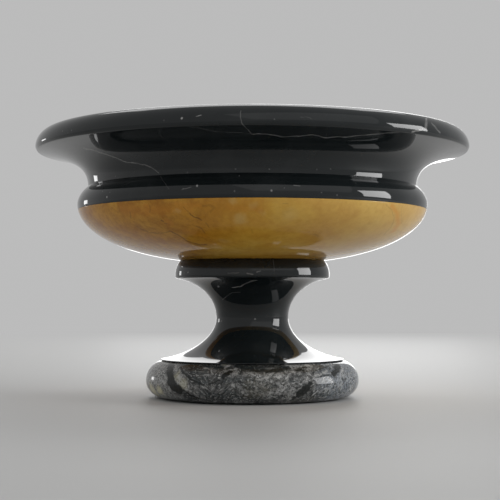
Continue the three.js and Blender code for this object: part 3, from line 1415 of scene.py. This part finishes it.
@dataclass(frozen=True)
class Dish(BoredStone):
    """Yellow dish: bulging outside, shallow inside, and the pocket that takes the plug.

    Attributes:
        floor: Thickness at the middle.
        floor_fullness: Exponent of the superellipse inside.
        plug_gap: Clearance round the plug.
    """

    node: str = "dish"
    slot: Slot = Slot.YELLOW
    floor: float = 20 * MM
    floor_fullness: float = 2.6
    plug_gap: float = 0.15 * MM
    bed_inner: float = 100.5 * MM

    def outline(self) -> Outline:
        """Up the belly to the joint, then down inside to the plug's pocket and the bore.

        Returns:
            The closed outline.
        """
        bottom, joint, throat = low("dish"), high("dish"), BULGE.throat
        floor, plug = bottom + self.floor, reach("dish_plug") + self.plug_gap
        inner = math.asin((plug / throat) ** (self.floor_fullness / 2))
        depth = low("top_cushion")
        line = Outline(self.bore_radius, bottom)
        line.line(BULGE.neck_radius, bottom)
        line.belly(BULGE.widest, BULGE.level, BULGE.drop, BULGE.fullness,
                   BULGE.neck_angle, BULGE.joint_angle)
        line.groove("rim_bed", self.bed_inner, joint).line(throat, joint)
        line.belly(throat, joint, joint - floor, self.floor_fullness, math.pi / 2, inner)
        line.line(plug, floor).line(plug, low("dish_plug"))
        line.line(self.pocket_radius, low("dish_plug")).line(self.pocket_radius, depth)
        return line.line(self.bore_radius, depth).line(self.bore_radius, bottom)

    def outside(self) -> Array:
        """The belly alone, in rising height."""
        return self.outline().stretches[1]


@dataclass(frozen=True)
class Collar(BoredStone):
    """Black collar: a small corner below, a short straight edge, then rounded in to the neck.

    Attributes:
        corner: Width and height of the corner below.
        straight: Height of the straight edge.
    """

    node: str = "collar"
    slot: Slot = Slot.BLACK
    corner: float = 0.4 * MM
    straight: float = 2.1 * MM
    edge: float = 0.15 * MM

    def outline(self) -> Outline:
        """Out along the underside, up the edge, over the shoulder and back to groove and bore.

        The shoulder's handles lie a third of its rise up from the edge, and a quarter of its
        rise out and down from the neck.

        Returns:
            The closed outline.
        """
        radius, bottom, top = reach("collar"), low("collar"), high("collar")
        start = bottom + self.corner
        stop, neck = start + self.straight, BULGE.neck_radius
        rise = top - stop
        line = Outline(self.bore_radius, bottom)
        line.line(radius - self.corner, bottom)
        line.bend((radius, bottom), (radius, start))
        line.line(radius, stop)
        line.curve((radius, stop + rise / 3), (neck + rise / 4, top - rise / 4), (neck, top))
        line.groove("dish_bed", self.bed_inner, top).line(self.bore_radius, top)
        return line.line(self.bore_radius, bottom)


@dataclass(frozen=True)
class Stem(BoredStone):
    """Black stem: wide flange, narrow waist, and a flare that runs out to the collar's edge.

    Attributes:
        flange_edge: Height of the flange's upright edge.
        flange_run: Where the flange's handle lies, inwards from the edge.
        flange_rise: Where it lies above the edge.
        waist_radius: Radius of the waist.
        waist_height: Its height above the underside.
        waist_down: Length of the handle below it.
        waist_up: Length of the handle above it.
        top_radius: Radius of the upper flare.
        top_edge: Height of the flare's upright edge.
        top_run: Where the flare's handle lies, inwards from the edge.
        top_slope: Its fall for each unit inwards.
    """

    node: str = "stem"
    slot: Slot = Slot.BLACK
    edge: float = 0.15 * MM
    flange_edge: float = 0.55 * MM
    flange_run: float = 20.4 * MM
    flange_rise: float = 3.1 * MM
    waist_radius: float = 23.4 * MM
    waist_height: float = 26.9 * MM
    waist_down: float = 11.8 * MM
    waist_up: float = 13.1 * MM
    top_radius: float = 49.6 * MM
    top_edge: float = 0.3 * MM
    top_run: float = 15.4 * MM
    top_slope: float = 0.16

    def outline(self) -> Outline:
        """Out along the flange, up through the waist, out to the collar and back to the bore.

        Returns:
            The closed outline.
        """
        bottom, top, flange = low("stem"), high("stem"), reach("stem")
        waist, brim = bottom + self.waist_height, top - self.top_edge
        line = Outline(self.bore_radius, bottom)
        line.line(flange, bottom).line(flange, bottom + self.flange_edge)
        line.curve((flange - self.flange_run, bottom + self.flange_edge + self.flange_rise),
                   (self.waist_radius, waist - self.waist_down), (self.waist_radius, waist))
        line.curve((self.waist_radius, waist + self.waist_up),
                   (self.top_radius - self.top_run, brim - self.top_run * self.top_slope),
                   (self.top_radius, brim))
        line.line(self.top_radius, top)
        line.groove("collar_bed", self.bed_inner, top).line(self.bore_radius, top)
        return line.line(self.bore_radius, bottom)


@dataclass(frozen=True)
class Foot(BoredStone):
    """Grey foot: its edge rounded more gently above its widest than below, and hollows below.

    Attributes:
        felt_gap: Clearance round the felt.
        widest_height: Height of the widest circle above the underside.
        heel_run: Width of the rounding below it.
        shoulder_run: Width of the rounding above it.
    """

    node: str = "foot"
    slot: Slot = Slot.GREY
    felt_gap: float = 0.3 * MM
    widest_height: float = 10.6 * MM
    heel_run: float = 11.3 * MM
    shoulder_run: float = 13.4 * MM
    bed_inner: float = 18 * MM

    def outline(self) -> Outline:
        """Out along the underside, round the edge, and back to the bore, pocket and recess.

        Returns:
            The closed outline.
        """
        bottom, top, recess = low("foot"), high("foot"), high("felt_pad")
        widest, felt = reach("foot"), reach("felt_pad") + self.felt_gap
        pocket = high("bottom_cushion")
        line = Outline(felt, bottom)
        line.line(widest - self.heel_run, bottom)
        line.quarter(widest, bottom + self.widest_height, leaves_level=True)
        line.quarter(widest - self.shoulder_run, top, leaves_level=False)
        line.groove("foot_bed", self.bed_inner, top).line(self.bore_radius, top)
        line.line(self.bore_radius, pocket)
        line.line(self.pocket_radius, pocket).line(self.pocket_radius, recess)
        return line.line(felt, recess).line(felt, bottom)

    def outside(self) -> Array:
        """The round edge alone, in rising height."""
        return np.concatenate(self.outline().stretches[1:3])


@dataclass(frozen=True)
class Thread:
    """The coarse M8 thread that the stud and both nuts share, as one right-handed helix.

    Attributes:
        pitch: Height of one turn.
        crest: Outer radius.
        depth: Height of a tooth.
        flat: How far each tip is cut flat, as a share of a tooth's depth.
        steps: Rings for each turn.
    """

    pitch: float = 1.25 * MM
    crest: float = 4.0 * MM
    depth: float = 0.72 * MM
    flat: float = 0.16
    steps: int = 8

    def radius(self, height: Array, turn: Array) -> Array:
        """Radius of the thread's surface.

        The height over the pitch, less the turn as a share of a whole one, says how far along
        its tooth a point is, and the radius falls from crest to root as a triangle with its tips
        cut flat.

        Args:
            height: Heights of the points.
            turn: Their turns, in radians.

        Returns:
            The radii.
        """
        share = (height / self.pitch - turn / (2 * math.pi)) % 1.0
        fall = np.abs(2 * share - 1) * (1 + 2 * self.flat) - self.flat
        return self.crest - self.depth * np.clip(fall, 0.0, 1.0)

    def heights(self, start: float, stop: float) -> Array:
        """Heights fine enough for the tooth, as one column."""
        count = int(math.ceil(abs(stop - start) / self.pitch * self.steps)) + 1
        return np.linspace(start, stop, count)[:, None]


THREAD = Thread()


@dataclass(frozen=True)
class Stud(TurnedPiece):
    """Steel stud, threaded from end to end, with chamfered ends."""

    node: str = "tie_rod"
    slot: Slot = Slot.STEEL
    chamfer: float = 0.8 * MM
    sides: int = 36

    def mesh(self) -> bpy.types.Object:
        """The thread's radius, held under a cone at each end.

        Returns:
            The object, at the origin.
        """
        bottom, top, turn = low(self.node), high(self.node), turns_of(self.sides)
        height = THREAD.heights(bottom, top) + 0 * turn
        cone = THREAD.crest - self.chamfer + np.minimum(height - bottom, top - height)
        radius = np.minimum(THREAD.radius(height, turn), cone)
        return ring_mesh(self.node + "_threaded", radius, height, (bottom, top))


@dataclass(frozen=True)
class Nut(TurnedPiece):
    """Hexagon nut with its corners turned off at both faces and the stud's thread in its bore.

    Attributes:
        across_flats: Width from flat to flat.
        face_radius: Radius of its round faces.
        cone_depth: Depth to which its corners are turned off.
        cone_slope: Growth of that cone's radius for each unit of depth.
        cone_steps: Rings of the cone.
        sink: Width of the countersink.
        slack: Clearance between its thread and the stud's.
        crease: Angle past which an edge stays sharp.
    """

    slot: Slot = Slot.STEEL
    across_flats: float = 13 * MM
    face_radius: float = 6.2 * MM
    cone_depth: float = 0.8 * MM
    cone_slope: float = 1.73
    cone_steps: int = 9
    sink: float = 0.3 * MM
    slack: float = 0.1 * MM
    crease: float = math.radians(30)
    sides: int = 96

    def mesh(self) -> bpy.types.Object:
        """Rings up the outside and down the bore.

        Outside, the radius is half the width across the flats over the cosine of the turn from
        the nearest flat's middle, held under a cone at each face. In the bore it is the thread's
        and a slack, held over a countersink at each face.

        Returns:
            The object, at the origin.
        """
        bottom, top, turn = low(self.node), high(self.node), turns_of(self.sides)
        steps = np.linspace(0.0, self.cone_depth, self.cone_steps)
        outer = np.concatenate([bottom + steps, top - steps[::-1]])[:, None] + 0 * turn
        inner = THREAD.heights(top, bottom) + 0 * turn
        sixth = math.pi / 3
        hexagon = self.across_flats / 2 / np.cos(turn % sixth - sixth / 2)
        cone = self.face_radius + self.cone_slope * np.minimum(outer - bottom, top - outer)
        countersink = THREAD.crest + self.sink - np.minimum(inner - bottom, top - inner)
        bore = np.maximum(THREAD.radius(inner, turn) + self.slack, countersink)
        radius = np.concatenate([np.minimum(hexagon, cone), bore])
        piece = ring_mesh(self.node + "_threaded", radius, np.concatenate([outer, inner]))
        piece.data.set_sharp_from_angle(angle=self.crease)
        return piece


@dataclass(frozen=True)
class Lamp:
    """A soft rectangular lamp that faces a point on the part.

    Attributes:
        name: Its name.
        place: Its place.
        width: Its width.
        height: Its height.
        power: Its power, in watts.
        aim: The point that it faces.
    """

    name: str
    place: Place
    width: float
    height: float
    power: float
    aim: Place = (0.0, 0.0, 0.1)

    def build(self) -> None:
        """Adds the lamp."""
        data = bpy.data.lights.new(self.name, "AREA")
        data.shape = "RECTANGLE"
        data.size, data.size_y = self.width, self.height
        data.energy = self.power
        lamp = bpy.data.objects.new(self.name, data)
        away = np.array(self.place) - np.array(self.aim)
        lamp.location = self.place
        turn = math.atan2(away[0], -away[1])
        lamp.rotation_euler = (math.atan2(math.hypot(away[0], away[1]), away[2]), 0.0, turn)
        lamp.visible_camera = False
        bpy.context.scene.collection.objects.link(lamp)


@dataclass(frozen=True)
class Studio:
    """Pale floor that fades into a pale grey room, soft lamps, and the camera.

    Attributes:
        floor_tone: The floor's colour.
        floor_roughness: Its roughness.
        floor_gleam: Its specular level.
        room_tone: Brightness of the room.
        floor_reach: Half the floor's width.
        fade_start: Distance from the part at which the floor begins to fade into the room.
        fade_end: Distance at which it has.
        sensor: Width of the camera's sensor, in millimetres.
        lamps: The lamps.
    """

    floor_tone: Colour = (0.5, 0.5, 0.495)
    floor_roughness: float = 0.6
    floor_gleam: float = 0.2
    room_tone: float = 0.5
    floor_reach: float = 6.0
    fade_start: float = 0.4
    fade_end: float = 1.5
    sensor: float = 36.0
    lamps: tuple[Lamp, ...] = (
        Lamp("rear_left_window", (-0.13, 1.4, 0.4), 0.26, 0.78, 1.2, (-0.13, 0.0, 0.1)),
        Lamp("rear_right_window", (0.2, 1.4, 0.45), 0.4, 0.86, 2.9, (0.2, 0.0, 0.1)),
        Lamp("right_window", (1.15, -0.15, 0.34), 0.5, 0.54, 6.6),
        Lamp("left_window", (-1.44, 1.39, 0.18), 0.24, 0.22, 0.7),
        Lamp("top_softbox", (0.0, 0.8, 1.3), 1.3, 0.6, 5.4),
        Lamp("front_softbox", (1.0, -1.6, 1.5), 3.0, 2.0, 5.2),
    )

    def build(self) -> None:
        """Adds floor, world, lamps and camera, and sets the view transform."""
        self.floor()
        self.world()
        for lamp in self.lamps:
            lamp.build()
        self.camera()
        bpy.context.scene.view_settings.view_transform = "Standard"

    def floor(self) -> None:
        """A flat sheet whose far parts take the room's tone to the eye, so that no horizon shows."""
        mesh = bpy.data.meshes.new("floor")
        half = self.floor_reach
        corners = [(-half, -half, 0), (half, -half, 0), (half, half, 0), (-half, half, 0)]
        mesh.from_pydata(corners, [], [(0, 1, 2, 3)])
        sheet = bpy.data.objects.new("floor", mesh)
        bpy.context.scene.collection.objects.link(sheet)
        graph = Graph("floor_paper")
        graph.set(Base_Color=(*self.floor_tone, 1.0), Roughness=self.floor_roughness,
                  Specular_IOR_Level=self.floor_gleam)
        glow = graph.add("Emission", {"Strength": self.room_tone})
        far = graph.near(np.zeros(3), Span(self.fade_start, self.fade_end))
        share = graph.math("MULTIPLY", far, self.seen(graph))
        blend = graph.add("MixShader", {0: share, 1: graph.shader.outputs[0], 2: glow.outputs[0]})
        graph.put(graph.tree.nodes["Material Output"].inputs["Surface"], blend.outputs[0])
        mesh.materials.append(graph.material)

    @staticmethod
    def seen(graph: Graph) -> Socket:
        """1 for a ray from the camera, off gloss or through glass, and 0 for light on the part.

        Args:
            graph: The floor's graph.

        Returns:
            The number.
        """
        path = graph.add("LightPath", {})
        share = graph.math("MAXIMUM", path.outputs["Is Camera Ray"], path.outputs["Is Glossy Ray"])
        return graph.math("MAXIMUM", share, path.outputs["Is Transmission Ray"])

    def world(self) -> None:
        """A room of one pale grey tone, which is background and fill light at once."""
        world = bpy.data.worlds.new("studio")
        world.use_nodes = True
        bpy.context.scene.world = world
        background = world.node_tree.nodes["Background"]
        background.inputs["Color"].default_value = (1.0, 1.0, 1.0, 1.0)
        background.inputs["Strength"].default_value = self.room_tone

    def camera(self) -> None:
        """The photograph's camera."""
        data = bpy.data.cameras.new("camera")
        data.sensor_width = self.sensor
        data.lens = SIGHT.focal_pixels / IMAGE_SIZE * self.sensor
        camera = bpy.data.objects.new("camera", data)
        camera.location = SIGHT.eye
        camera.rotation_euler = (math.pi / 2 + SIGHT.pitch, 0.0, 0.0)
        bpy.context.scene.collection.objects.link(camera)
        bpy.context.scene.camera = camera


# Veins, bands, patches and specks, by columns and rows of the photograph.
RING_VEINS = (
    Vein(((84, 148.4), (91, 149.8), (103, 153.6), (116, 158.2), (127, 162.2), (144, 164.3)), 0.42 * MM, 0.36),
    Vein(((144, 164.3), (151, 168), (158.5, 172.5)), 0.42 * MM, 0.34),
    Vein(((158.5, 172.5), (163, 180), (169, 188.5)), 0.3 * MM, 0.1),
    Vein(((98.5, 143.5), (101, 149), (103.5, 153.5)), 0.3 * MM, 0.12),
    Vein(((190, 127), (213.4, 130.7), (235.4, 132.8), (253, 133.4)), 0.3 * MM, 0.12),
    Vein(((253, 133.6), (266, 134), (282, 136.9), (296, 136), (312, 135.2), (324, 137.4), (345, 136.8),
          (372, 134.3), (399, 132.3)), 0.35 * MM, 0.36),
    Vein(((240.5, 111), (240, 117), (242, 123), (247, 129), (252.5, 134)), 0.4 * MM, 0.2),
    Vein(((426.5, 118.5), (425.6, 127.5)), 1.1 * MM, 0.4, 1.0),
    Vein(((426, 128.5), (420, 130.3), (412.5, 131.6)), 0.9 * MM, 0.5, 1.0),
    Vein(((431.9, 123.5), (440, 132.5)), 0.6 * MM, 0.22, 1.0),
    Vein(((301, 117), (305, 117.2), (311, 118.8)), 0.35 * MM, 0.08),
    Vein(((196.8, 115.8), (200.6, 115.3)), 0.4 * MM, 0.55),
    Vein(((182.5, 189.2), (186, 188.3), (190.5, 187.2)), 0.4 * MM, 0.22),
    Vein(((294.5, 185.6), (299.5, 185.6)), 0.35 * MM, 0.3),
)
RING_SPECKS = (
    Patch((181.8, 118.2), 0.9 * MM, 0.8),
    Patch((274.5, 119.2), 0.6 * MM, 0.2),
    Patch((164, 120.5), 0.68 * MM, 0.12),
    Patch((62.5, 131), 0.68 * MM, 0.2),
    Patch((71.5, 130.4), 0.6 * MM, 0.2),
    Patch((68, 133), 0.52 * MM, 0.15),
    Patch((93.5, 134.5), 0.68 * MM, 0.2),
    Patch((197.2, 185.7), 0.9 * MM, 0.8),
    Patch((106.8, 197), 0.9 * MM, 0.8),
    Patch((102.5, 191.3), 0.52 * MM, 0.25),
    Patch((109.8, 192.3), 0.52 * MM, 0.2),
    Patch((115.5, 176.3), 0.6 * MM, 0.23),
    Patch((118, 178.2), 0.45 * MM, 0.15),
    Patch((86.5, 168), 0.6 * MM, 0.2),
    Patch((92, 181), 0.6 * MM, 0.2),
    Patch((183, 188.8), 0.68 * MM, 0.25),
    Patch((187.5, 172.5), 0.68 * MM, 0.15),
    Patch((235.5, 169), 0.68 * MM, 0.15),
    Patch((234.5, 191), 0.75 * MM, 0.2),
    Patch((269.5, 169.2), 0.6 * MM, 0.25),
    Patch((271.5, 190.8), 0.9 * MM, 0.6),
    Patch((284.5, 188), 0.52 * MM, 0.17),
    Patch((317, 169.4), 0.6 * MM, 0.15),
    Patch((330.5, 169), 0.6 * MM, 0.17),
    Patch((321.5, 192.5), 0.68 * MM, 0.17),
    Patch((337, 195), 0.68 * MM, 0.17),
    Patch((362, 155), 0.52 * MM, 0.12),
)
COLLAR_VEINS = (
    Vein(((247.5, 273.2), (252.5, 274)), 0.55 * MM, 0.4),
    Vein(((257, 271.6), (260, 270.8)), 0.5 * MM, 0.3),
    Vein(((272.5, 260.5), (274, 265), (274.5, 270.5)), 0.35 * MM, 0.08),
    Vein(((228, 272.8), (238, 272.6)), 0.35 * MM, 0.14),
)
COLLAR_SPECKS = (
    Patch((188, 272.3), 0.7 * MM, 0.6),
    Patch((184, 272.8), 0.6 * MM, 0.3),
    Patch((180, 268), 0.6 * MM, 0.3),
)
STEM_VEINS = (
    Vein(((232.5, 287.6), (241, 286.6), (246, 283.5), (251, 281.4), (256.5, 280.4)), 0.42 * MM, 0.4),
    Vein(((222.8, 300), (226.5, 296.3)), 0.35 * MM, 0.2),
    Vein(((226.5, 296.3), (232, 292.8), (240, 292.3)), 0.35 * MM, 0.14),
)
STEM_SPECKS = (
    Patch((255, 319), 0.9 * MM, 0.4),
    Patch((221.5, 321), 0.7 * MM, 0.3),
)
DISH_MILK = (
    Patch((240, 219), 6 * MM, 0.35),
    Patch((177, 211), 2.6 * MM, 0.39),
    Patch((252, 206), 4 * MM, 0.21),
    Patch((233, 200.5), 4 * MM, 0.28),
    Patch((290, 216), 7 * MM, 0.24),
    Patch((262, 213), 4 * MM, 0.17),
    Patch((224, 241), 5 * MM, 0.17),
)
DISH_STREAKS = (
    Vein(((122, 209), (150, 212), (190, 208)), 5.0 * MM, 0.4, 1.0),
    Vein(((392, 205), (397.5, 214), (398, 224), (393, 232)), 2.2 * MM, 0.5, 1.0),
    Vein(((146, 206), (147, 214)), 3.6 * MM, 0.5, 1.0),
    Vein(((134, 207), (133, 216)), 2.4 * MM, 0.4, 1.0),
    Vein(((166, 220), (172, 224)), 2.4 * MM, 0.45, 1.0),
    Vein(((176, 204), (200, 206)), 2.2 * MM, 0.4, 1.0),
    Vein(((184, 231), (206, 236)), 2.6 * MM, 0.3, 1.0),
    Vein(((228, 208), (262, 210)), 3.2 * MM, 0.3, 1.0),
)
DISH_LINES = (
    Vein(((136, 226), (141, 229.5), (150, 232.4), (162, 233.6), (170, 231.4)), 0.42 * MM, 0.4),
    Vein(((170, 231), (175, 233), (181, 237), (186, 240.5), (194, 242.6), (200, 245), (207, 245.2)),
         0.5 * MM, 0.6),
    Vein(((190, 214), (194.5, 217.3), (201, 220.4)), 0.42 * MM, 0.65),
    Vein(((184, 207), (188, 211), (190.5, 214)), 0.4 * MM, 0.36),
    Vein(((149.5, 206), (150, 212)), 0.6 * MM, 0.35, 1.0),
    Vein(((130, 212), (131.5, 218)), 0.45 * MM, 0.43),
    Vein(((161.5, 220.5), (163, 221)), 0.6 * MM, 0.65),
    Vein(((165, 223.5), (166.6, 223.5)), 0.5 * MM, 0.43),
    Vein(((203, 206), (209, 205), (214, 207.5), (211, 212)), 1.2 * MM, 0.22, 1.0),
    Vein(((196, 226), (202, 229), (205, 233)), 0.5 * MM, 0.41),
    Vein(((206, 223), (209, 227)), 0.5 * MM, 0.36),
    Vein(((283.5, 203.5), (287.5, 203.8)), 0.7 * MM, 0.2),
    Vein(((252, 230), (253, 233)), 0.9 * MM, 0.15, 1.0),
    Vein(((314, 234.5), (318.5, 236)), 0.8 * MM, 0.25, 1.0),
    Vein(((386, 204.5), (391.5, 210), (394, 218), (391, 227), (384, 235)), 0.6 * MM, 0.2, 1.0),
    Vein(((401.5, 206), (401.5, 224)), 0.5 * MM, 0.12, 1.0),
)
FOOT_BANDS_AND_FLANGE_SHADE = (
    Vein(((171.5, 363), (169.5, 371)), 2.7 * MM, 0.82, 0.5),
    Vein(((169.5, 371), (170.5, 378)), 2.9 * MM, 0.92, 0.45),
    Vein(((170.5, 378), (171.5, 384)), 3.8 * MM, 0.95, 0.4),
    Vein(((171.5, 383), (176, 388.3), (181, 391)), 3.4 * MM, 0.95, 0.4),
    Vein(((182, 389.5), (190, 394), (198, 399)), 0.8 * MM, 0.9, 0.6),
    Vein(((180, 367), (184, 373), (190, 378.5), (195, 382), (204, 384.5)), 0.9 * MM, 0.9, 0.7),
    Vein(((231, 371.8), (226.5, 374.3), (222.5, 377.5)), 1.4 * MM, 0.97, 0.5),
    Vein(((219.5, 380.8), (215, 382.5), (209, 385)), 1.0 * MM, 0.92, 0.6),
    Vein(((207.5, 377), (209.5, 384)), 0.7 * MM, 0.7, 0.8),
    Vein(((222, 368.5), (232, 368.8), (238, 366.5)), 0.7 * MM, 0.8, 0.7),
    Vein(((338, 365), (336.5, 370)), 2.9 * MM, 0.93, 0.5),
    Vein(((336.5, 370), (333, 374.5)), 2.3 * MM, 0.93, 0.5),
    Vein(((332, 375.3), (322, 375.5), (314, 380.5)), 0.7 * MM, 0.65, 0.8),
    Vein(((311, 383), (309, 386.5)), 2.1 * MM, 0.92, 0.5),
    Vein(((308, 387), (303.5, 391)), 3.3 * MM, 0.95, 0.45),
    Vein(((303, 391.5), (298, 395.5)), 2.7 * MM, 0.95, 0.45),
    Vein(((298, 395.5), (293, 399.5)), 1.2 * MM, 0.88, 0.5),
    Vein(((312, 373), (318, 369.5), (327, 366.5)), 0.6 * MM, 0.65, 0.8),
    Vein(((269, 383), (276, 386)), 0.8 * MM, 0.65, 0.8),
    Vein(((274, 379), (279, 380.5)), 0.6 * MM, 0.65, 0.8),
    Vein(((295.5, 369.6), (303, 370)), 0.7 * MM, 0.85, 0.6),
    Vein(((303, 367), (307, 367.5)), 0.8 * MM, 0.8, 0.6),
    # The last three bands are painted shade: a dark arc on the foot's top, under the stem's flange.
    Vein(((180, 364.5), (195, 365.5), (212, 366.3), (221, 367.3)), 1.5 * MM, 0.72, 0.9),
    Vein(((236, 366), (245, 368.3), (256, 370), (270, 371), (280, 370.2), (289, 367.5)), 1.9 * MM, 0.85, 0.8),
    Vein(((240, 364.8), (262, 366.5), (284, 365.5)), 2.0 * MM, 0.75, 0.8),
)
FOOT_LIGHTS = (
    Vein(((177, 365.5), (176.5, 372)), 2.0 * MM, 0.55, 0.9),
    Vein(((177.5, 372), (181, 380)), 2.8 * MM, 0.7, 0.9),
    Vein(((181, 380), (187, 388.5)), 2.8 * MM, 0.7, 0.9),
    Vein(((190, 391), (198, 396.5)), 1.0 * MM, 0.45, 0.9),
    Vein(((222, 364.5), (231, 365)), 1.6 * MM, 0.65, 0.7),
    Vein(((212, 371), (222, 373)), 2.0 * MM, 0.4, 0.9),
    Vein(((224, 371), (232, 369.3), (239, 367.5)), 1.4 * MM, 0.6, 0.8),
    Vein(((231, 376), (239, 371.5)), 1.3 * MM, 0.45, 0.8),
    Vein(((243, 374.5), (252, 373.5)), 1.9 * MM, 0.6, 0.9),
    Vein(((252, 375), (262, 377), (271, 381)), 1.9 * MM, 0.75, 0.9),
    Vein(((275, 376.5), (287, 378)), 1.7 * MM, 0.75, 0.9),
    Vein(((274, 382), (282, 384)), 1.3 * MM, 0.4, 0.9),
    Vein(((193, 386), (206, 387)), 2.1 * MM, 0.4, 0.9),
    Vein(((233, 384.5), (239, 388), (247, 394)), 2.3 * MM, 0.65, 0.9),
    Vein(((285, 366.3), (298, 366.3), (311, 365.3)), 1.1 * MM, 0.75, 0.6),
    Vein(((290, 372.5), (300, 373.5)), 1.7 * MM, 0.4, 0.9),
    Vein(((295, 379), (301, 383.5)), 1.7 * MM, 0.45, 0.9),
    Vein(((314, 377), (320, 374), (327, 370.5)), 1.5 * MM, 0.6, 0.9),
    Vein(((315, 391), (330, 391)), 2.6 * MM, 0.3, 1.0),
    Vein(((341, 367), (343, 378), (340, 387)), 3.0 * MM, 0.35, 1.0),
    Vein(((287, 396), (294, 389.5)), 1.9 * MM, 0.45, 0.9),
)
FOOT_SHADES = (
    # This shade is painted shade under the stem's flange, on the foot's top.
    Vein(((179, 364.3), (195, 365.7), (212, 366.7), (221, 367.3)), 1.9 * MM, 0.95, 0.7),
    Vein(((194, 371), (206, 371)), 1.7 * MM, 0.65, 0.8),
    Vein(((193, 377.5), (207, 378.5)), 1.3 * MM, 0.8, 0.8),
    Vein(((196, 382), (207, 383)), 1.3 * MM, 0.9, 0.8),
    # This shade is painted shade under the stem's flange, on the foot's top.
    Vein(((236, 366), (245, 368), (256, 369.8), (270, 370.8), (280, 370), (289, 367.5)), 2.2 * MM, 0.97, 0.6),
    Vein(((228, 378.5), (245, 379), (256, 379.8), (266, 382.3)), 0.9 * MM, 0.65, 0.8),
    Vein(((225, 380.5), (235, 380.5)), 1.7 * MM, 0.6, 0.9),
    Vein(((200, 394), (220, 396), (242, 398)), 2.6 * MM, 0.6, 0.9),
    Vein(((226, 390.5), (238, 395.5)), 2.1 * MM, 0.65, 0.9),
    Vein(((246, 385), (257, 388), (262, 392)), 2.4 * MM, 0.4, 1.0),
    Vein(((270, 387.3), (278, 386.3)), 1.1 * MM, 0.6, 0.9),
    Vein(((262, 395), (277, 396)), 2.1 * MM, 0.4, 1.0),
    Vein(((290, 381.5), (297, 382)), 1.3 * MM, 0.6, 0.9),
    Vein(((147.5, 381.5), (151, 382)), 1.0 * MM, 0.5, 0.9),
    Vein(((160, 370.5), (163.5, 370)), 0.9 * MM, 0.6, 0.9),
    Vein(((163, 373.8), (164.5, 374)), 0.8 * MM, 0.85, 0.8),
    Vein(((165, 389), (168, 396)), 1.4 * MM, 0.6, 0.9),
    Vein(((342, 379), (344, 380)), 0.9 * MM, 0.6, 0.9),
    Vein(((337, 390), (340, 392)), 1.0 * MM, 0.6, 0.9),
    Vein(((318, 395), (334, 396)), 1.0 * MM, 0.4, 0.9),
)
FOOT_CREAM = (
    Patch((153, 391), 8 * MM, 0.8),
    Patch((160, 391), 5 * MM, 0.75),
    Patch((183, 384), 5 * MM, 0.3),
    Patch((177, 376), 4 * MM, 0.3),
    Patch((225, 364.5), 3.5 * MM, 0.35),
)
FOOT_SPARKS = (
    Patch((219.6, 375.3), 0.8 * MM, 0.9),
    Patch((218.8, 377.8), 0.9 * MM, 0.95),
    Patch((164, 372.4), 0.7 * MM, 0.9),
)

STONES: tuple[tuple[TurnedPiece, Marble], ...] = (
    (RimRing(), BlackMarble("black_marble_ring", veins=RING_VEINS, specks=RING_SPECKS)),
    (Dish(), YellowMarble("yellow_marble_dish", milk=DISH_MILK, streaks=DISH_STREAKS, lines=DISH_LINES)),
    (Disc("dish_plug", Slot.YELLOW, sides=128), YellowMarble("yellow_marble_plug")),
    (Collar(), BlackMarble("black_marble_collar", veins=COLLAR_VEINS, specks=COLLAR_SPECKS)),
    (Stem(), BlackMarble("black_marble_stem", veins=STEM_VEINS, specks=STEM_SPECKS)),
    (Foot(), GreyMarble("grey_marble_foot", bands_and_shade=FOOT_BANDS_AND_FLANGE_SHADE, lights=FOOT_LIGHTS, shades=FOOT_SHADES,
                        creamy=FOOT_CREAM, sparks=FOOT_SPARKS)),
)

GREEN_FELT = PlainFinish("green_felt", (0.022, 0.075, 0.04), (0.008, 0.035, 0.018), 900, 0.9, relief=0.4 * MM)
STEEL = PlainFinish("zinc_steel", (0.62, 0.63, 0.64), (0.45, 0.46, 0.48), 300, 0.35, metallic=1.0)
LEAD = PlainFinish("soft_lead", (0.30, 0.31, 0.33), (0.2, 0.21, 0.23), 200, 0.55, metallic=1.0)
COMPOUND = PlainFinish("setting_compound", (0.68, 0.64, 0.55), (0.55, 0.5, 0.42), 400, 0.85)

FITTINGS: tuple[tuple[PlainFinish, tuple[TurnedPiece, ...]], ...] = (
    (GREEN_FELT, (Disc("felt_pad", Slot.FELT, edge=0.5 * MM, sides=144),)),
    (STEEL, (Stud(), Nut("top_nut"), Nut("bottom_nut"),
             FlatRing("top_washer", Slot.STEEL), FlatRing("bottom_washer", Slot.STEEL))),
    (LEAD, (FlatRing("top_cushion", Slot.LEAD), FlatRing("bottom_cushion", Slot.LEAD))),
    (COMPOUND, (FlatRing("rim_bed", Slot.COMPOUND, inner=Dish.bed_inner),
                FlatRing("dish_bed", Slot.COMPOUND, inner=Collar.bed_inner),
                FlatRing("collar_bed", Slot.COMPOUND, inner=Stem.bed_inner),
                FlatRing("foot_bed", Slot.COMPOUND, inner=Foot.bed_inner))),
)


def main() -> None:
    """Builds the studio and every piece."""
    logging.basicConfig(level=logging.INFO, format="%(name)s: %(message)s")
    Studio().build()
    for stone, finish in STONES:
        stone.build(finish.make(stone.outside()))
    for finish, pieces in FITTINGS:
        material = finish.make()
        for piece in pieces:
            piece.build(material)


if __name__ == "__main__":
    main()
